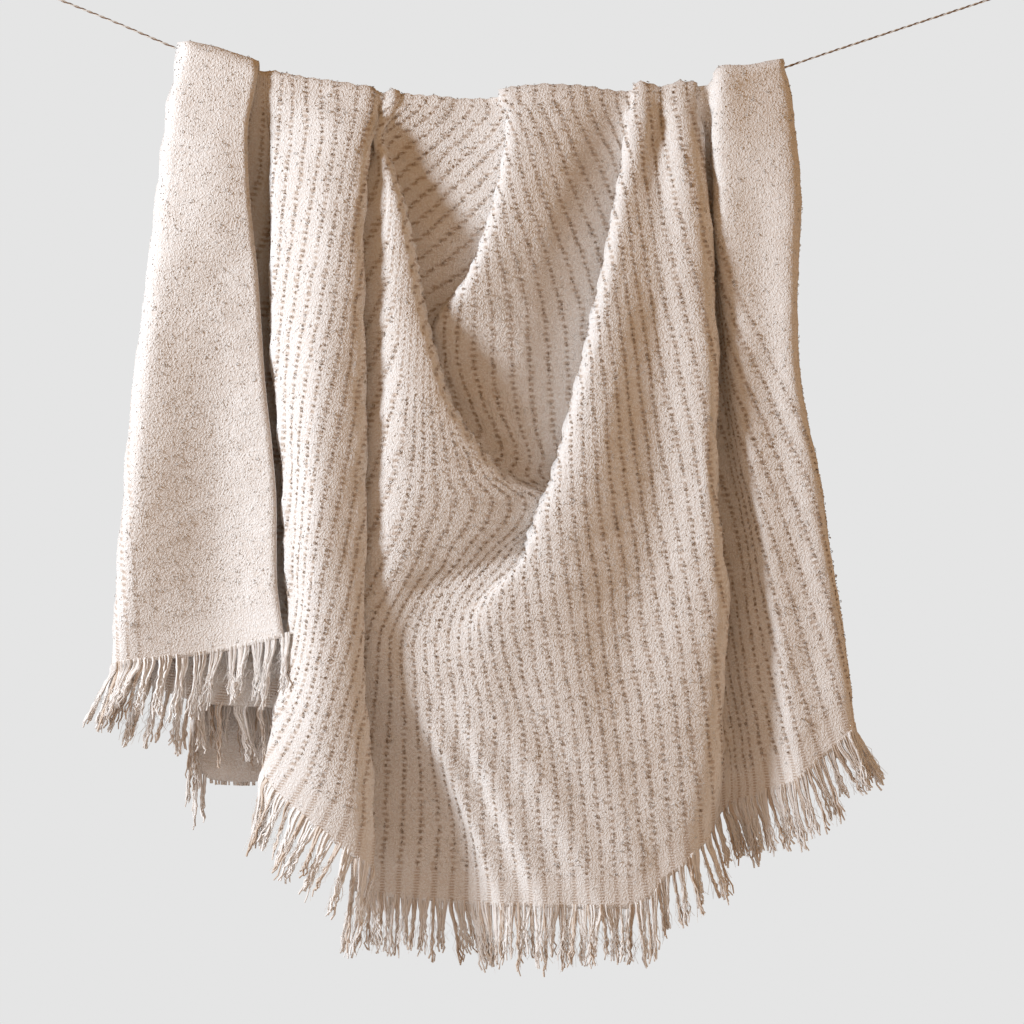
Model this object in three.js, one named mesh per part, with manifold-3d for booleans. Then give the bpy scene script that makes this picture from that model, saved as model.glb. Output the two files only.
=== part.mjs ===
// A boucle throw hung over a line of twisted twine.
// Millimetres, +Z up. The line runs along X and the front of the throw faces -Y.
// The tables below use three words: x runs along the line from the middle of the throw, drop hangs below the
// lowest point of the line, and out stands towards the front. On the back of the throw out stands backwards.
import * as THREE from 'three';
import Module from 'manifold-3d';
import { mergeVertices } from 'three/addons/utils/BufferGeometryUtils.js';

// cloth
const clothThick = 3;
const deepen = 0.3;          // share by which the folds deepen below the line
const frontRows = 17;        // rows of faces between the line and the front hem
const wrapRows = 4;          // rows of faces over the line
const backRows = 8;          // rows of faces between the line and the back hem

// fringe
const fringeThick = 2.6;
const fringeGap = 0.6;       // between the hem and its fringe, square to the hem
const spineDrop = 7;         // unbroken band under the hem
const tasselPitch = 30;
const tasselWidth = 17;
const firstTassel = 7.5;       // from the end of the hem to the first tassel
const leastStation = 2.5;      // tassel sides closer than this to a column of the cloth are left to it
const frontTassel = 62;
const backTassel = 58;
const foldedColumns = 2;     // the flap's columns, whose back fringe is turned up inside it
const hangingColumns = 6;    // the first column of the back fringe that hangs free
const foldedInset = clothThick / 2 + fringeThick / 2 + 0.3;

// twine
const twineRadius = 1.15;
const twineSteps = 54;
const twineSides = 8;
const eyeRadius = 6;
const knotRadius = 2.6;
const knotLength = 7;
const knotGap = 0.3;

// The line's route: x and drop of its centre, from the left eye to the right one.
const lineRoute = [
  [-482, -110.5], [-452, -99], [-400, -78], [-365, -63], [-338, -51.5], [-320, -45], [-290, -34.5],
  [-256, -23.5], [-212, -14], [-172, -7], [-136, -2.5], [-72, 1.5], [-12, 3.5], [48, 3], [122, 0],
  [165, -3.5], [201, -10], [238, -20.5], [275, -32.5], [310, -44.5], [390, -71], [475, -99], [508, -110],
];
const eyeLeft = [-489.8, -113.5];
const eyeRight = [515.8, -112.6];

// The folds, from the left selvedge to the right one along the cloth. The columns of hang are
// [drop, x, front, behind, tuck]: front and behind are how far out the cloth stands on either side of the fold,
// and tuck is the width hidden under it, or, where it is negative, how far the fold is eased open. lean is how
// far its tassels swing to the side for each unit they hang, with leanBehind for those behind the fold.
// atLine gives [x, front, behind, tuck] on the line, and foot gives the row at the back hem.
// The last row of hang is at the front hem, and the hem is lower or higher behind the fold by hemStep.
const folds = [
  { name: 'left selvedge', kind: 'run', lean: 0, atLine: [-256, 15],
    hang: [[30, -265, 26], [80, -264, 31], [180, -254, 36], [281, -247, 39], [391, -236, 43],
      [500, -233, 47], [541, -227, 50]],
    foot: [690, -236, 44] },
  { name: 'flap middle', kind: 'run', lean: -0.1, atLine: [-298, 14],
    hang: [[60, -302, 31], [200, -300, 36], [400, -292, 35], [556, -288, 35]],
    foot: [692, -282, 46] },
  { name: 'left fold', kind: 'turn', side: -1, reach: 12, lean: -0.4, atLine: [-337, 11, 3.8],
    hang: [[-30, -341, 12, 4], [23, -349, 22, 6], [105, -358, 30, 8], [202, -369, 37, 10],
      [319, -381, 43, 11], [447, -392, 47, 12], [569, -401, 37, 12]],
    foot: [686, -326, 42, 16], hemStep: 12, footStep: -86 },
  { name: 'second layer', kind: 'run', lean: -0.05, atLine: [-300, 3.6],
    hang: [[60, -303, 7], [200, -310, 10], [400, -318, 11], [608, -316, 12]],
    foot: [602, -280, 14] },
  { name: 'pleat left edge', kind: 'tuck', side: -1, reach: 9, lean: -0.3, leanBehind: 0.3,
    atLine: [-243, 8, 3.6, -8],
    hang: [[10, -242, 11, 4, -6], [60, -241, 24, 5, 2], [151, -242, 34, 6, 14], [281, -240, 41, 6, 24],
      [340, -233, 44, 6, 28], [460, -227, 49, 6, 30], [545, -225, 51, 7, 32], [616, -236, 51, 8, 34],
      [689, -252, 51, 8, 36]],
    foot: [660, -222, 34, 16, -10], hemStep: -70, footStep: -36 },
  { name: 'pleat crest', kind: 'run', lean: -0.5, atLine: [-190, 10],
    hang: [[30, -182, 29], [100, -184, 46], [200, -188, 56], [300, -192, 62], [550, -193, 66],
      [733, -191, 67]],
    foot: [686, -190, 44] },
  { name: 'pleat right edge', kind: 'tuck', side: 1, reach: 9, lean: -0.15, atLine: [-138, 9, 3.8, 0],
    hang: [[12, -138, 14, 5, 2], [36, -139, 30, 7, 11], [60, -143, 37, 12, 14], [100, -146, 45, 22, 18],
      [281, -146, 57, 34, 26], [434, -145, 60, 40, 28], [540, -143, 62, 38, 28], [638, -141, 62, 12, 28],
      [700, -138, 62, 7, 28], [767, -136, 62, 6, 28]],
    foot: [692, -150, 34, 16, -10], hemStep: 33 },
  { name: 'left arm', kind: 'run', lean: 0.2, atLine: [-125, 3.8],
    hang: [[12, -130, 6], [36, -139, 11], [60, -137, 19], [101, -129, 33], [201, -118, 48],
      [301, -108, 56], [400, -106, 58], [461, -116, 54], [505, -130, 52], [545, -135, 45],
      [580, -121, 41], [613, -100, 40], [679, -70, 32], [737, -44, 29], [811, -24, 27]],
    foot: [694, -116, 18] },
  { name: 'left lip', kind: 'tuck', side: 1, reach: 7, lean: 0, atLine: [-115, 8.5, 3.8, 0],
    hang: [[12, -122, 8, 5, -4], [36, -131, 20, 7, 5], [64, -122, 28, 8, 12], [100, -110, 36, 9, 22],
      [160, -96, 43, 12, 32], [222, -85, 48, 15, 38], [268, -72, 53, 17, 40], [311, -57, 54, 19, 36],
      [337, -42, 54, 21, 30], [360, -24, 52, 23, 24], [376, -10, 50, 24, 18], [386, 2, 49, 25, 12],
      [393, 16, 47, 26, 6], [400, 34, 44, 27, 1], [412, 44, 40, 28, 0], [428, 37, 40, 30, 0],
      [450, 7, 41, 36, -3], [475, -49, 44, 41, -7], [490, -80, 45, 44, -7], [500, -95, 46, 46, -7],
      [520, -111, 47, 47, -7], [545, -116, 45, 45, -7], [580, -101, 44, 44, -8], [620, -76, 46, 46, -10],
      [690, -49, 38, 38, -11], [811, -2, 36, 36, -12]],
    foot: [694, -80, 20, 34, -10] },
  { name: 'recess', kind: 'run', lean: 0, atLine: [-72, 3.8],
    hang: [[30, -74, 3], [100, -78, 9], [160, -84, 12], [222, -92, 14], [268, -88, 16], [311, -66, 18],
      [360, -20, 20], [386, 8, 22], [400, 52, 26], [412, 64, 27], [425, 59, 30], [450, 26, 36],
      [475, -30, 42], [490, -62, 44], [500, -77, 46], [520, -93, 46], [545, -97, 46], [580, -82, 47],
      [620, -55, 49], [690, -25, 43], [811, 26, 42]],
    foot: [694, -44, 44] },
  { name: 'inner lip', kind: 'tuck', side: -1, reach: 7, lean: 0, atLine: [-12, 15, 4, 0],
    hang: [[8, -8, 18, 6, 3], [31, -5, 25, 11, 12], [73, -10, 34, 13, 18], [118, -21, 38, 13, 20],
      [152, -33, 39, 12, 20], [188, -50, 38, 13, 18], [205, -63, 36, 14, 14], [225, -77, 31, 16, 8],
      [260, -74, 26, 19, -2], [311, -40, 23, 20, -6], [360, 6, 22, 21, -6], [386, 24, 23, 22, -6],
      [400, 71, 26, 26, -6], [412, 82, 28, 28, -6], [425, 77, 31, 31, -6], [450, 44, 37, 36, -6],
      [475, -12, 44, 43, -6], [490, -44, 45, 45, -6], [500, -59, 47, 47, -7], [520, -75, 47, 47, -8],
      [545, -79, 48, 48, -8], [580, -63, 50, 49, -8], [620, -34, 52, 51, -9], [690, -2, 47, 47, -10],
      [811, 54, 46, 46, -12]],
    foot: [694, -14, 40, 20, -10] },
  { name: 'inner swag', kind: 'run', lean: 0, atLine: [58, 17],
    hang: [[30, 56, 22], [100, 46, 31], [200, 24, 29], [311, 8, 19], [360, 30, 18], [386, 46, 21],
      [400, 88, 25], [412, 98, 27], [425, 92, 30], [450, 58, 37], [475, 2, 43], [490, -31, 46],
      [500, -46, 48], [520, -61, 49], [545, -65, 49], [580, -49, 53], [620, -18, 54], [690, 18, 50],
      [811, 80, 49]],
    foot: [690, 34, 22] },
  { name: 'right lip', kind: 'tuck', side: -1, reach: 8, lean: 0.05, atLine: [124, 17, 8, 0],
    hang: [[23, 117, 26, 6, 5], [54, 112, 35, 4, 12], [93, 105, 43, 2, 18], [141, 97, 49, 0, 22],
      [219, 80, 55, -1, 26], [306, 59, 57, 1, 34], [354, 46, 56, 8, 52], [390, 35, 57, 18, 82],
      [412, 26, 58, 24, 94], [425, 20, 58, 28, 92], [450, 11, 58, 35, 62], [475, -9, 57, 43, 22],
      [490, -20, 57, 46, 12], [500, -27, 57, 48, 7], [525, -40, 57, 48, 0], [550, -40, 56, 51, -5],
      [580, -22, 55, 54, -9], [620, 12, 54, 54, -11], [811, 108, 51, 51, -12]],
    foot: [680, 80, 44, 22, -10] },
  { name: 'first small pleat', kind: 'run', lean: 0.08, atLine: [138, 15],
    hang: [[20, 135, 25], [60, 127, 36], [150, 114, 49], [300, 94, 59], [450, 56, 62], [530, 52, 59],
      [620, 72, 57], [800, 140, 52]],
    foot: [672, 108, 42] },
  { name: 'groove', kind: 'run', lean: 0.1, atLine: [152, 10],
    hang: [[20, 150, 14], [60, 150, 27], [120, 150, 41], [250, 147, 47], [400, 144, 47], [470, 136, 48],
      [530, 118, 50], [620, 112, 54], [786, 148, 51]],
    foot: [664, 136, 20] },
  { name: 'second small pleat', kind: 'run', lean: 0.18, atLine: [168, 14],
    hang: [[20, 169, 24], [60, 170, 38], [120, 174, 46], [250, 180, 51], [400, 184, 52], [600, 180, 56],
      [770, 170, 52]],
    foot: [650, 160, 40] },
  { name: 'right edge of the main panel', kind: 'tuck', side: 1, reach: 7, lean: 0.25,
    atLine: [186, 12, 5, 0],
    hang: [[31, 191, 24, 5, 8], [87, 195, 40, 6, 16], [143, 199, 46, 6, 22], [199, 202, 49, 6, 26],
      [256, 205, 52, 6, 28], [399, 205, 54, 6, 28], [468, 212, 54, 6, 24], [503, 216, 54, 6, 16],
      [585, 210, 53, 7, 4], [679, 205, 50, 8, -8], [753, 193, 47, 10, -10]],
    foot: [636, 196, 20, 34, -10], hemStep: -40 },
  { name: 'right flap edge', kind: 'tuck', side: -1, reach: 5, lean: 0.3, atLine: [206, 20, 5, -3],
    hang: [[31, 203, 29, 6, -2], [87, 203, 35, 6, -1], [131, 204, 37, 6, -3], [180, 209, 38, 8, -5],
      [251, 217, 39, 10, -8], [350, 229, 40, 14, -10], [438, 245, 40, 18, -14], [526, 257, 40, 20, -20],
      [600, 269, 41, 22, -26], [685, 281, 42, 24, -32]],
    foot: [612, 226, 38, 34, -6], hemStep: 18 },
  { name: 'right flap middle', kind: 'run', lean: 0.5, atLine: [238, 14],
    hang: [[50, 243, 33], [150, 249, 39], [300, 262, 41], [450, 284, 41], [600, 304, 41], [660, 313, 41]],
    foot: [596, 250, 44] },
  { name: 'right fold', kind: 'turn', side: 1, reach: 5, lean: 0.45, atLine: [275, 9.5, 3.8],
    hang: [[11, 282, 17, 3], [50, 286, 32, 1], [100, 289, 41, -2], [171, 286, 45, -4], [230, 285, 46, -5],
      [273, 287, 46, -5], [321, 295, 46, -5], [359, 303, 46, -5], [453, 317, 45, -5], [550, 332, 44, -5],
      [638, 344, 43, -5]],
    foot: [580, 288, 36, 16], hemStep: -12, footStep: -8 },
  { name: 'border behind', kind: 'run', lean: 0.1, atLine: [256, 3.7],
    hang: [[50, 262, 0], [120, 256, -4], [230, 234, -6], [351, 228, -6], [603, 255, -6]],
    foot: [568, 262, 16] },
  { name: 'right selvedge', kind: 'run', lean: 0, atLine: [246, 3.7],
    hang: [[50, 246, 0], [120, 232, -4], [230, 192, -6], [351, 158, -6], [569, 168, -6]],
    foot: [560, 236, 16] },
];

// ---- curves through the tables ----

// Value of a column at a drop, on a smooth curve through the rows. The curve leaves the line straight down.
function valueAt(rows, column, drop, flatStart) {
  const last = rows.length - 1;
  if (drop <= rows[0][0]) return rows[0][column];
  if (drop >= rows[last][0]) return rows[last][column];
  let i = 0;
  while (rows[i + 1][0] < drop) i += 1;
  const step = rows[i + 1][0] - rows[i][0];
  const slope = (k) => (rows[k + 1][column] - rows[k][column]) / (rows[k + 1][0] - rows[k][0]);
  const tangent = (k) => {
    if (k === 0) return flatStart ? 0 : slope(0);
    if (k === last) return slope(last - 1);
    const before = rows[k][0] - rows[k - 1][0];
    const after = rows[k + 1][0] - rows[k][0];
    return (slope(k - 1) * after + slope(k) * before) / (before + after);
  };
  const t = (drop - rows[i][0]) / step;
  const t2 = t * t;
  const t3 = t2 * t;
  return rows[i][column] * (2 * t3 - 3 * t2 + 1) + tangent(i) * step * (t3 - 2 * t2 + t)
    + rows[i + 1][column] * (3 * t2 - 2 * t3) + tangent(i + 1) * step * (t3 - t2);
}

const lineCurve = new THREE.CatmullRomCurve3(
  lineRoute.map(([x, drop]) => new THREE.Vector3(x, 0, -drop)), false, 'centripetal');

function lineDropAt(x) {
  return valueAt(lineRoute.map(([along, drop]) => [along, drop]), 1, x, false);
}

// ---- the guides: lines that run from the back hem over the line to the front hem ----

// A fold's cross-section is a short run of guides. share is 0 on its front side and 1 behind it.
function guideSpots(fold) {
  const steps = [0, 1, 2, 3, 4];
  if (fold.kind === 'run') {
    return [{ share: 0, place: (v) => [v.x, v.front] }];
  }
  if (fold.kind === 'turn') {
    return steps.map((k) => {
      const angle = (Math.PI * k) / 4;
      return {
        share: k / 4,
        place: (v) => [
          v.x - fold.side * fold.reach * (1 - Math.sin(angle)),
          v.front + ((v.behind - v.front) * (1 - Math.cos(angle))) / 2,
        ],
      };
    });
  }
  const inward = [
    (v) => -fold.reach,
    (v) => 0,
    (v) => -v.tuck / 2,
    (v) => -v.tuck,
    (v) => -v.tuck + fold.reach,
  ];
  const depth = [0, 0.2, 0.5, 0.8, 1];
  const spots = steps.map((k) => ({
    share: depth[k],
    place: (v) => [v.x + fold.side * inward[k](v), v.front + (v.behind - v.front) * depth[k]],
  }));
  return fold.side > 0 ? spots : spots.reverse();
}

function valuesFrom(rows, drop) {
  return {
    x: valueAt(rows, 1, drop, false),
    front: valueAt(rows, 2, drop, true),
    behind: rows[0].length > 3 ? valueAt(rows, 3, drop, true) : 0,
    tuck: rows[0].length > 4 ? valueAt(rows, 4, drop, false) : 0,
  };
}

// The depths of the table as they grow below the line, on a smooth step.
function depthAt(belowLine) {
  const t = THREE.MathUtils.smoothstep(belowLine, 10, 170);
  return 1 + deepen * t;
}

function makeGuide(fold, spot) {
  const frontTable = [[lineDropAt(fold.atLine[0]), ...fold.atLine], ...fold.hang];
  const hem = fold.hang[fold.hang.length - 1][0] + (fold.hemStep ?? 0) * spot.share;
  const onLine = spot.place(valuesFrom(frontTable, frontTable[0][0]));
  const lineDrop = lineDropAt(onLine[0]);
  const [footDrop, ...footValues] = fold.foot;
  const foot = footDrop + (fold.footStep ?? 0) * spot.share;
  const [x, front, behind = 0, tuck = 0] = footValues;
  const onFoot = spot.place({ x, front, behind, tuck });
  return {
    lean: fold.lean + ((fold.leanBehind ?? fold.lean) - fold.lean) * spot.share,
    front: (t) => {
      const drop = lineDrop + t * (hem - lineDrop);
      const [alongX, out] = t === 0 ? onLine : spot.place(valuesFrom(frontTable, drop));
      return new THREE.Vector3(alongX, -out * depthAt(drop - lineDrop), -drop);
    },
    wrap: (turn) => new THREE.Vector3(
      onLine[0], -onLine[1] * Math.cos(turn), -lineDrop + onLine[1] * Math.sin(turn)),
    back: (t) => {
      const ease = t * (2 - t);
      const out = onLine[1] + (onFoot[1] - onLine[1]) * ease;
      const across = onLine[0] + (onFoot[0] - onLine[0]) * t;
      return new THREE.Vector3(across, out, -(lineDrop + t * (foot - lineDrop)));
    },
  };
}

const guides = folds.flatMap((fold) => guideSpots(fold).map((spot) => makeGuide(fold, spot)));

// ---- the cloth's middle surface, as rows of points ----

function clothRows() {
  const rows = [];
  for (let i = 0; i < backRows; i += 1) rows.push(guides.map((guide) => guide.back(1 - i / backRows)));
  for (let i = 0; i <= wrapRows; i += 1) {
    rows.push(guides.map((guide) => guide.wrap(Math.PI * (1 - i / wrapRows))));
  }
  for (let i = 1; i <= frontRows; i += 1) rows.push(guides.map((guide) => guide.front(i / frontRows)));
  return rows;
}

// Direction of a line of points at its middle one. Both of its sides count the same, whatever their length.
function direction(before, here, after) {
  const heading = new THREE.Vector3();
  if (before) heading.add(here.clone().sub(before).normalize());
  if (after) heading.add(after.clone().sub(here).normalize());
  return heading;
}

// Unit normal of a grid of points at row r, column c. It points away from the line.
function normalAt(rows, r, c) {
  const here = rows[r][c];
  const along = direction(rows[r - 1]?.[c], here, rows[r + 1]?.[c]);
  const across = direction(rows[r][c - 1], here, rows[r][c + 1]);
  return along.cross(across).normalize();
}

function offsetRows(rows, distance) {
  return rows.map((row, r) => row.map(
    (point, c) => point.clone().addScaledVector(normalAt(rows, r, c), distance),
  ));
}

// ---- building solids from faces ----

function solidBuilder() {
  const positions = [];
  return {
    quad(a, b, c, d) {
      [a, b, c, a, c, d].forEach((point) => positions.push(point.x, point.y, point.z));
    },
    // turned is for a solid whose faces were listed facing in
    geometry(turned = false) {
      const geometry = new THREE.BufferGeometry();
      geometry.setAttribute('position', new THREE.Float32BufferAttribute(positions, 3));
      const merged = mergeVertices(geometry, 1e-3);
      if (turned) merged.index.array.reverse();
      return merged;
    },
  };
}

// A closed sheet between an outer and an inner grid of points.
function sheetSolid(rows, thick) {
  const outer = offsetRows(rows, thick / 2);
  const inner = offsetRows(rows, -thick / 2);
  const lastRow = rows.length - 1;
  const lastColumn = rows[0].length - 1;
  const solid = solidBuilder();
  for (let r = 0; r < lastRow; r += 1) {
    for (let c = 0; c < lastColumn; c += 1) {
      solid.quad(outer[r][c], outer[r + 1][c], outer[r + 1][c + 1], outer[r][c + 1]);
      solid.quad(inner[r][c], inner[r][c + 1], inner[r + 1][c + 1], inner[r + 1][c]);
    }
    solid.quad(outer[r][0], inner[r][0], inner[r + 1][0], outer[r + 1][0]);
    solid.quad(
      outer[r][lastColumn], outer[r + 1][lastColumn], inner[r + 1][lastColumn], inner[r][lastColumn],
    );
  }
  for (let c = 0; c < lastColumn; c += 1) {
    solid.quad(outer[0][c], outer[0][c + 1], inner[0][c + 1], inner[0][c]);
    solid.quad(outer[lastRow][c], inner[lastRow][c], inner[lastRow][c + 1], outer[lastRow][c + 1]);
  }
  return solid.geometry();
}

// A comb of tassels under a hem, from one column of the cloth to another. Its stations are the cloth's own
// columns and the two sides of each tassel.
function combSolid(rows, hemRow, fromColumn, toColumn, tasselLength, leanAt, tuckedUp = 0) {
  const turned = hemRow === 0 && tuckedUp === 0;   // the normals of the back face backwards
  const corners = [];
  let travelled = 0;
  for (let c = fromColumn; c <= toColumn; c += 1) {
    if (c > fromColumn) travelled += rows[hemRow][c].distanceTo(rows[hemRow][c - 1]);
    const normal = normalAt(rows, hemRow, c);
    const heading = new THREE.Vector3(leanAt(c), 0, -1).normalize();
    const alongHem = direction(rows[hemRow][c - 1], rows[hemRow][c], rows[hemRow][c + 1]);
    const root = rows[hemRow][c].clone();
    const away = alongHem.cross(normal).normalize();
    if (hemRow === 0) away.negate();
    root.addScaledVector(away, fringeGap);
    if (tuckedUp > 0) {
      root.addScaledVector(normal, -tuckedUp);
      heading.set(0, 0, 1);
    }
    corners.push({ travelled, root, heading, normal });
  }
  const stationAt = (distance) => {
    let i = 0;
    while (i < corners.length - 2 && corners[i + 1].travelled < distance) i += 1;
    const a = corners[i];
    const b = corners[i + 1];
    const f = (distance - a.travelled) / (b.travelled - a.travelled);
    return {
      travelled: distance,
      root: a.root.clone().lerp(b.root, f),
      heading: a.heading.clone().lerp(b.heading, f),
      normal: a.normal.clone().lerp(b.normal, f),
    };
  };
  const stations = [...corners];
  const clear = (distance) => stations.every((s) => Math.abs(s.travelled - distance) > leastStation);
  for (let start = firstTassel; start < travelled; start += tasselPitch) {
    [start, start + tasselWidth].forEach((distance) => {
      if (distance < travelled && clear(distance)) stations.push(stationAt(distance));
    });
  }
  stations.sort((a, b) => a.travelled - b.travelled);
  const isTassel = (i) => {
    if (i < 0 || i >= stations.length - 1) return false;
    const middle = (stations[i].travelled + stations[i + 1].travelled) / 2;
    const within = (middle - firstTassel + tasselPitch) % tasselPitch;
    return within < tasselWidth;
  };
  const solid = solidBuilder();
  const pair = (s, length) => [1, -1].map((side) => s.root.clone()
    .addScaledVector(s.heading, length).addScaledVector(s.normal, (side * fringeThick) / 2));
  for (let i = 0; i < stations.length - 1; i += 1) {
    const [aTop, aTopIn] = pair(stations[i], 0);
    const [bTop, bTopIn] = pair(stations[i + 1], 0);
    const [aLow, aLowIn] = pair(stations[i], spineDrop);
    const [bLow, bLowIn] = pair(stations[i + 1], spineDrop);
    solid.quad(aTop, aLow, bLow, bTop);
    solid.quad(aTopIn, bTopIn, bLowIn, aLowIn);
    solid.quad(aTop, bTop, bTopIn, aTopIn);
    if (i === 0) solid.quad(aTop, aTopIn, aLowIn, aLow);
    if (i === stations.length - 2) solid.quad(bTop, bLow, bLowIn, bTopIn);
    if (!isTassel(i)) {
      solid.quad(aLow, aLowIn, bLowIn, bLow);
      continue;
    }
    const [aTip, aTipIn] = pair(stations[i], tasselLength);
    const [bTip, bTipIn] = pair(stations[i + 1], tasselLength);
    solid.quad(aLow, aTip, bTip, bLow);
    solid.quad(aLowIn, bLowIn, bTipIn, aTipIn);
    solid.quad(aTip, aTipIn, bTipIn, bTip);
    if (!isTassel(i - 1)) solid.quad(aLow, aLowIn, aTipIn, aTip);
    if (!isTassel(i + 1)) solid.quad(bLow, bTip, bTipIn, bLowIn);
  }
  return solid.geometry(turned);
}

// ---- the twine and its eyes ----

function twineGeometry() {
  const section = new THREE.Shape();
  for (let i = 0; i < twineSides; i += 1) {
    const angle = (2 * Math.PI * i) / twineSides;
    const x = twineRadius * Math.cos(angle);
    const y = twineRadius * Math.sin(angle);
    if (i === 0) section.moveTo(x, y);
    else section.lineTo(x, y);
  }
  section.closePath();
  return new THREE.ExtrudeGeometry(section, { steps: twineSteps, bevelEnabled: false, extrudePath: lineCurve });
}

// An eye: a ring of twine and the barrel knot that closes it. heading points from the eye to the line's end.
function eyeGeometry(wasm, centre, lineEnd) {
  const toSolid = (geometry) => {
    geometry.deleteAttribute('normal');
    geometry.deleteAttribute('uv');
    const merged = mergeVertices(geometry, 1e-3);
    return new wasm.Manifold(new wasm.Mesh({
      numProp: 3,
      vertProperties: Float32Array.from(merged.attributes.position.array),
      triVerts: Uint32Array.from(merged.index.array),
    }));
  };
  const end = new THREE.Vector3(lineEnd[0], 0, -lineEnd[1]);
  const middle = new THREE.Vector3(centre[0], 0, -centre[1]);
  const heading = end.clone().sub(middle).normalize();
  const ring = new THREE.TorusGeometry(eyeRadius, twineRadius, 6, 16);
  ring.rotateX(Math.PI / 2);
  ring.translate(middle.x, middle.y, middle.z);
  const half = knotLength / 2;
  const profile = [[0, -half], [knotRadius * 0.75, -half], [knotRadius, -half / 2], [knotRadius, half / 2],
    [knotRadius * 0.75, half], [0, half]].map(([r, y]) => new THREE.Vector2(r, y));
  const knot = new THREE.LatheGeometry(profile, 8);
  knot.applyQuaternion(new THREE.Quaternion().setFromUnitVectors(new THREE.Vector3(0, 1, 0), heading));
  const knotMiddle = end.clone().addScaledVector(heading, -half - knotGap);
  knot.translate(knotMiddle.x, knotMiddle.y, knotMiddle.z);
  const joined = toSolid(ring).add(toSolid(knot)).getMesh();
  const geometry = new THREE.BufferGeometry();
  geometry.setAttribute('position', new THREE.Float32BufferAttribute(Array.from(joined.vertProperties), 3));
  geometry.setIndex(Array.from(joined.triVerts));
  return geometry;
}

// ---- the object ----

const wasm = await Module();
wasm.setup();

const boucle = new THREE.MeshStandardMaterial({ color: 0xe6ddd0, roughness: 0.95, metalness: 0 });
const fringeYarn = new THREE.MeshStandardMaterial({ color: 0xd9c6b6, roughness: 0.95, metalness: 0 });
const twineFibre = new THREE.MeshStandardMaterial({ color: 0xb79f88, roughness: 0.9, metalness: 0 });

// The origin is the middle of the left eye, where the line is held.
const group = new THREE.Group();
group.position.set(-eyeLeft[0], 0, eyeLeft[1]);

function addPart(name, geometry, material) {
  const mesh = new THREE.Mesh(geometry, material);
  mesh.name = name;
  group.add(mesh);
}

const rows = clothRows();
const lastRow = rows.length - 1;
const firstPoint = lineRoute[0];
const lastPoint = lineRoute[lineRoute.length - 1];
addPart('throw_cloth', sheetSolid(rows, clothThick), boucle);
const lastGuide = guides.length - 1;
const frontComb = combSolid(rows, lastRow, 0, lastGuide, frontTassel, (c) => guides[c].lean);
const backComb = combSolid(rows, 0, hangingColumns, lastGuide, backTassel, () => 0);
const foldedComb = combSolid(rows, 0, 0, foldedColumns, backTassel, () => 0, foldedInset);
addPart('fringe_front', frontComb, fringeYarn);
addPart('fringe_back', backComb, fringeYarn);
addPart('fringe_back_folded', foldedComb, fringeYarn);
addPart('line_twine', twineGeometry(), twineFibre);
addPart('line_eye_left', eyeGeometry(wasm, eyeLeft, firstPoint), twineFibre);
addPart('line_eye_right', eyeGeometry(wasm, eyeRight, lastPoint), twineFibre);

export default group;
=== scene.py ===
import math
import random

import bpy
import numpy as np
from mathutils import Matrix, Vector, noise


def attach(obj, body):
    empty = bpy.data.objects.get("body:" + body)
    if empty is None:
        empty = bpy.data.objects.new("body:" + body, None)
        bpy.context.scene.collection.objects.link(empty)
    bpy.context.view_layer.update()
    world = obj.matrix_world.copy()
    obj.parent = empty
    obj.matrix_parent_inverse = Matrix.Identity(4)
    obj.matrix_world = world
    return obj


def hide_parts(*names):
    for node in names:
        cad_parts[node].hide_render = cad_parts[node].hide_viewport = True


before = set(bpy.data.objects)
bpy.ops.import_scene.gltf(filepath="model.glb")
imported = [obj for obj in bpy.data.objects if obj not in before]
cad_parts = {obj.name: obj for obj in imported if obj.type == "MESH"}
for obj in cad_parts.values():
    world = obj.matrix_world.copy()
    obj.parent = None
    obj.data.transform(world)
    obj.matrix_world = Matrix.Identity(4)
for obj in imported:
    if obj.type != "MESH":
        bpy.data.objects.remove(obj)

print("frame loaded:", len(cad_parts), "nodes")
mm = 0.001
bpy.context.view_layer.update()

# Every table here is in millimetres: x along the line from the middle of the throw, drop below the lowest
# point of the line, out towards the front (or backwards on the back). The part's origin is the left eye.
origin = {"x": 489.8, "drop": 113.5}


def place(x, out, drop):
    return Vector(((x + origin["x"]) * mm, -out * mm, (-drop - origin["drop"]) * mm))


def valueAt(rows, column, at, flatStart=False):
    last = len(rows) - 1
    if at <= rows[0][0]:
        return rows[0][column]
    if at >= rows[last][0]:
        return rows[last][column]
    i = 0
    while rows[i + 1][0] < at:
        i += 1
    step = rows[i + 1][0] - rows[i][0]

    def slope(k):
        return (rows[k + 1][column] - rows[k][column]) / (rows[k + 1][0] - rows[k][0])

    def tangent(k):
        if k == 0:
            return 0 if flatStart else slope(0)
        if k == last:
            return slope(last - 1)
        before = rows[k][0] - rows[k - 1][0]
        after = rows[k + 1][0] - rows[k][0]
        return (slope(k - 1) * after + slope(k) * before) / (before + after)

    t = (at - rows[i][0]) / step
    return (rows[i][column] * (2 * t ** 3 - 3 * t ** 2 + 1) + tangent(i) * step * (t ** 3 - 2 * t ** 2 + t)
            + rows[i + 1][column] * (3 * t ** 2 - 2 * t ** 3) + tangent(i + 1) * step * (t ** 3 - t ** 2))


def smoothStep(low, high, value):
    t = min(1, max(0, (value - low) / (high - low)))
    return t * t * (3 - 2 * t)


def meshObject(name, vertices, faces):
    mesh = bpy.data.meshes.new(name)
    mesh.from_pydata([tuple(v) for v in vertices], [], faces)
    mesh.update()
    made = bpy.data.objects.new(name, mesh)
    bpy.context.collection.objects.link(made)
    return made


def triangleCount(piece):
    return sum(len(face.vertices) - 2 for face in piece.data.polygons)


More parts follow.
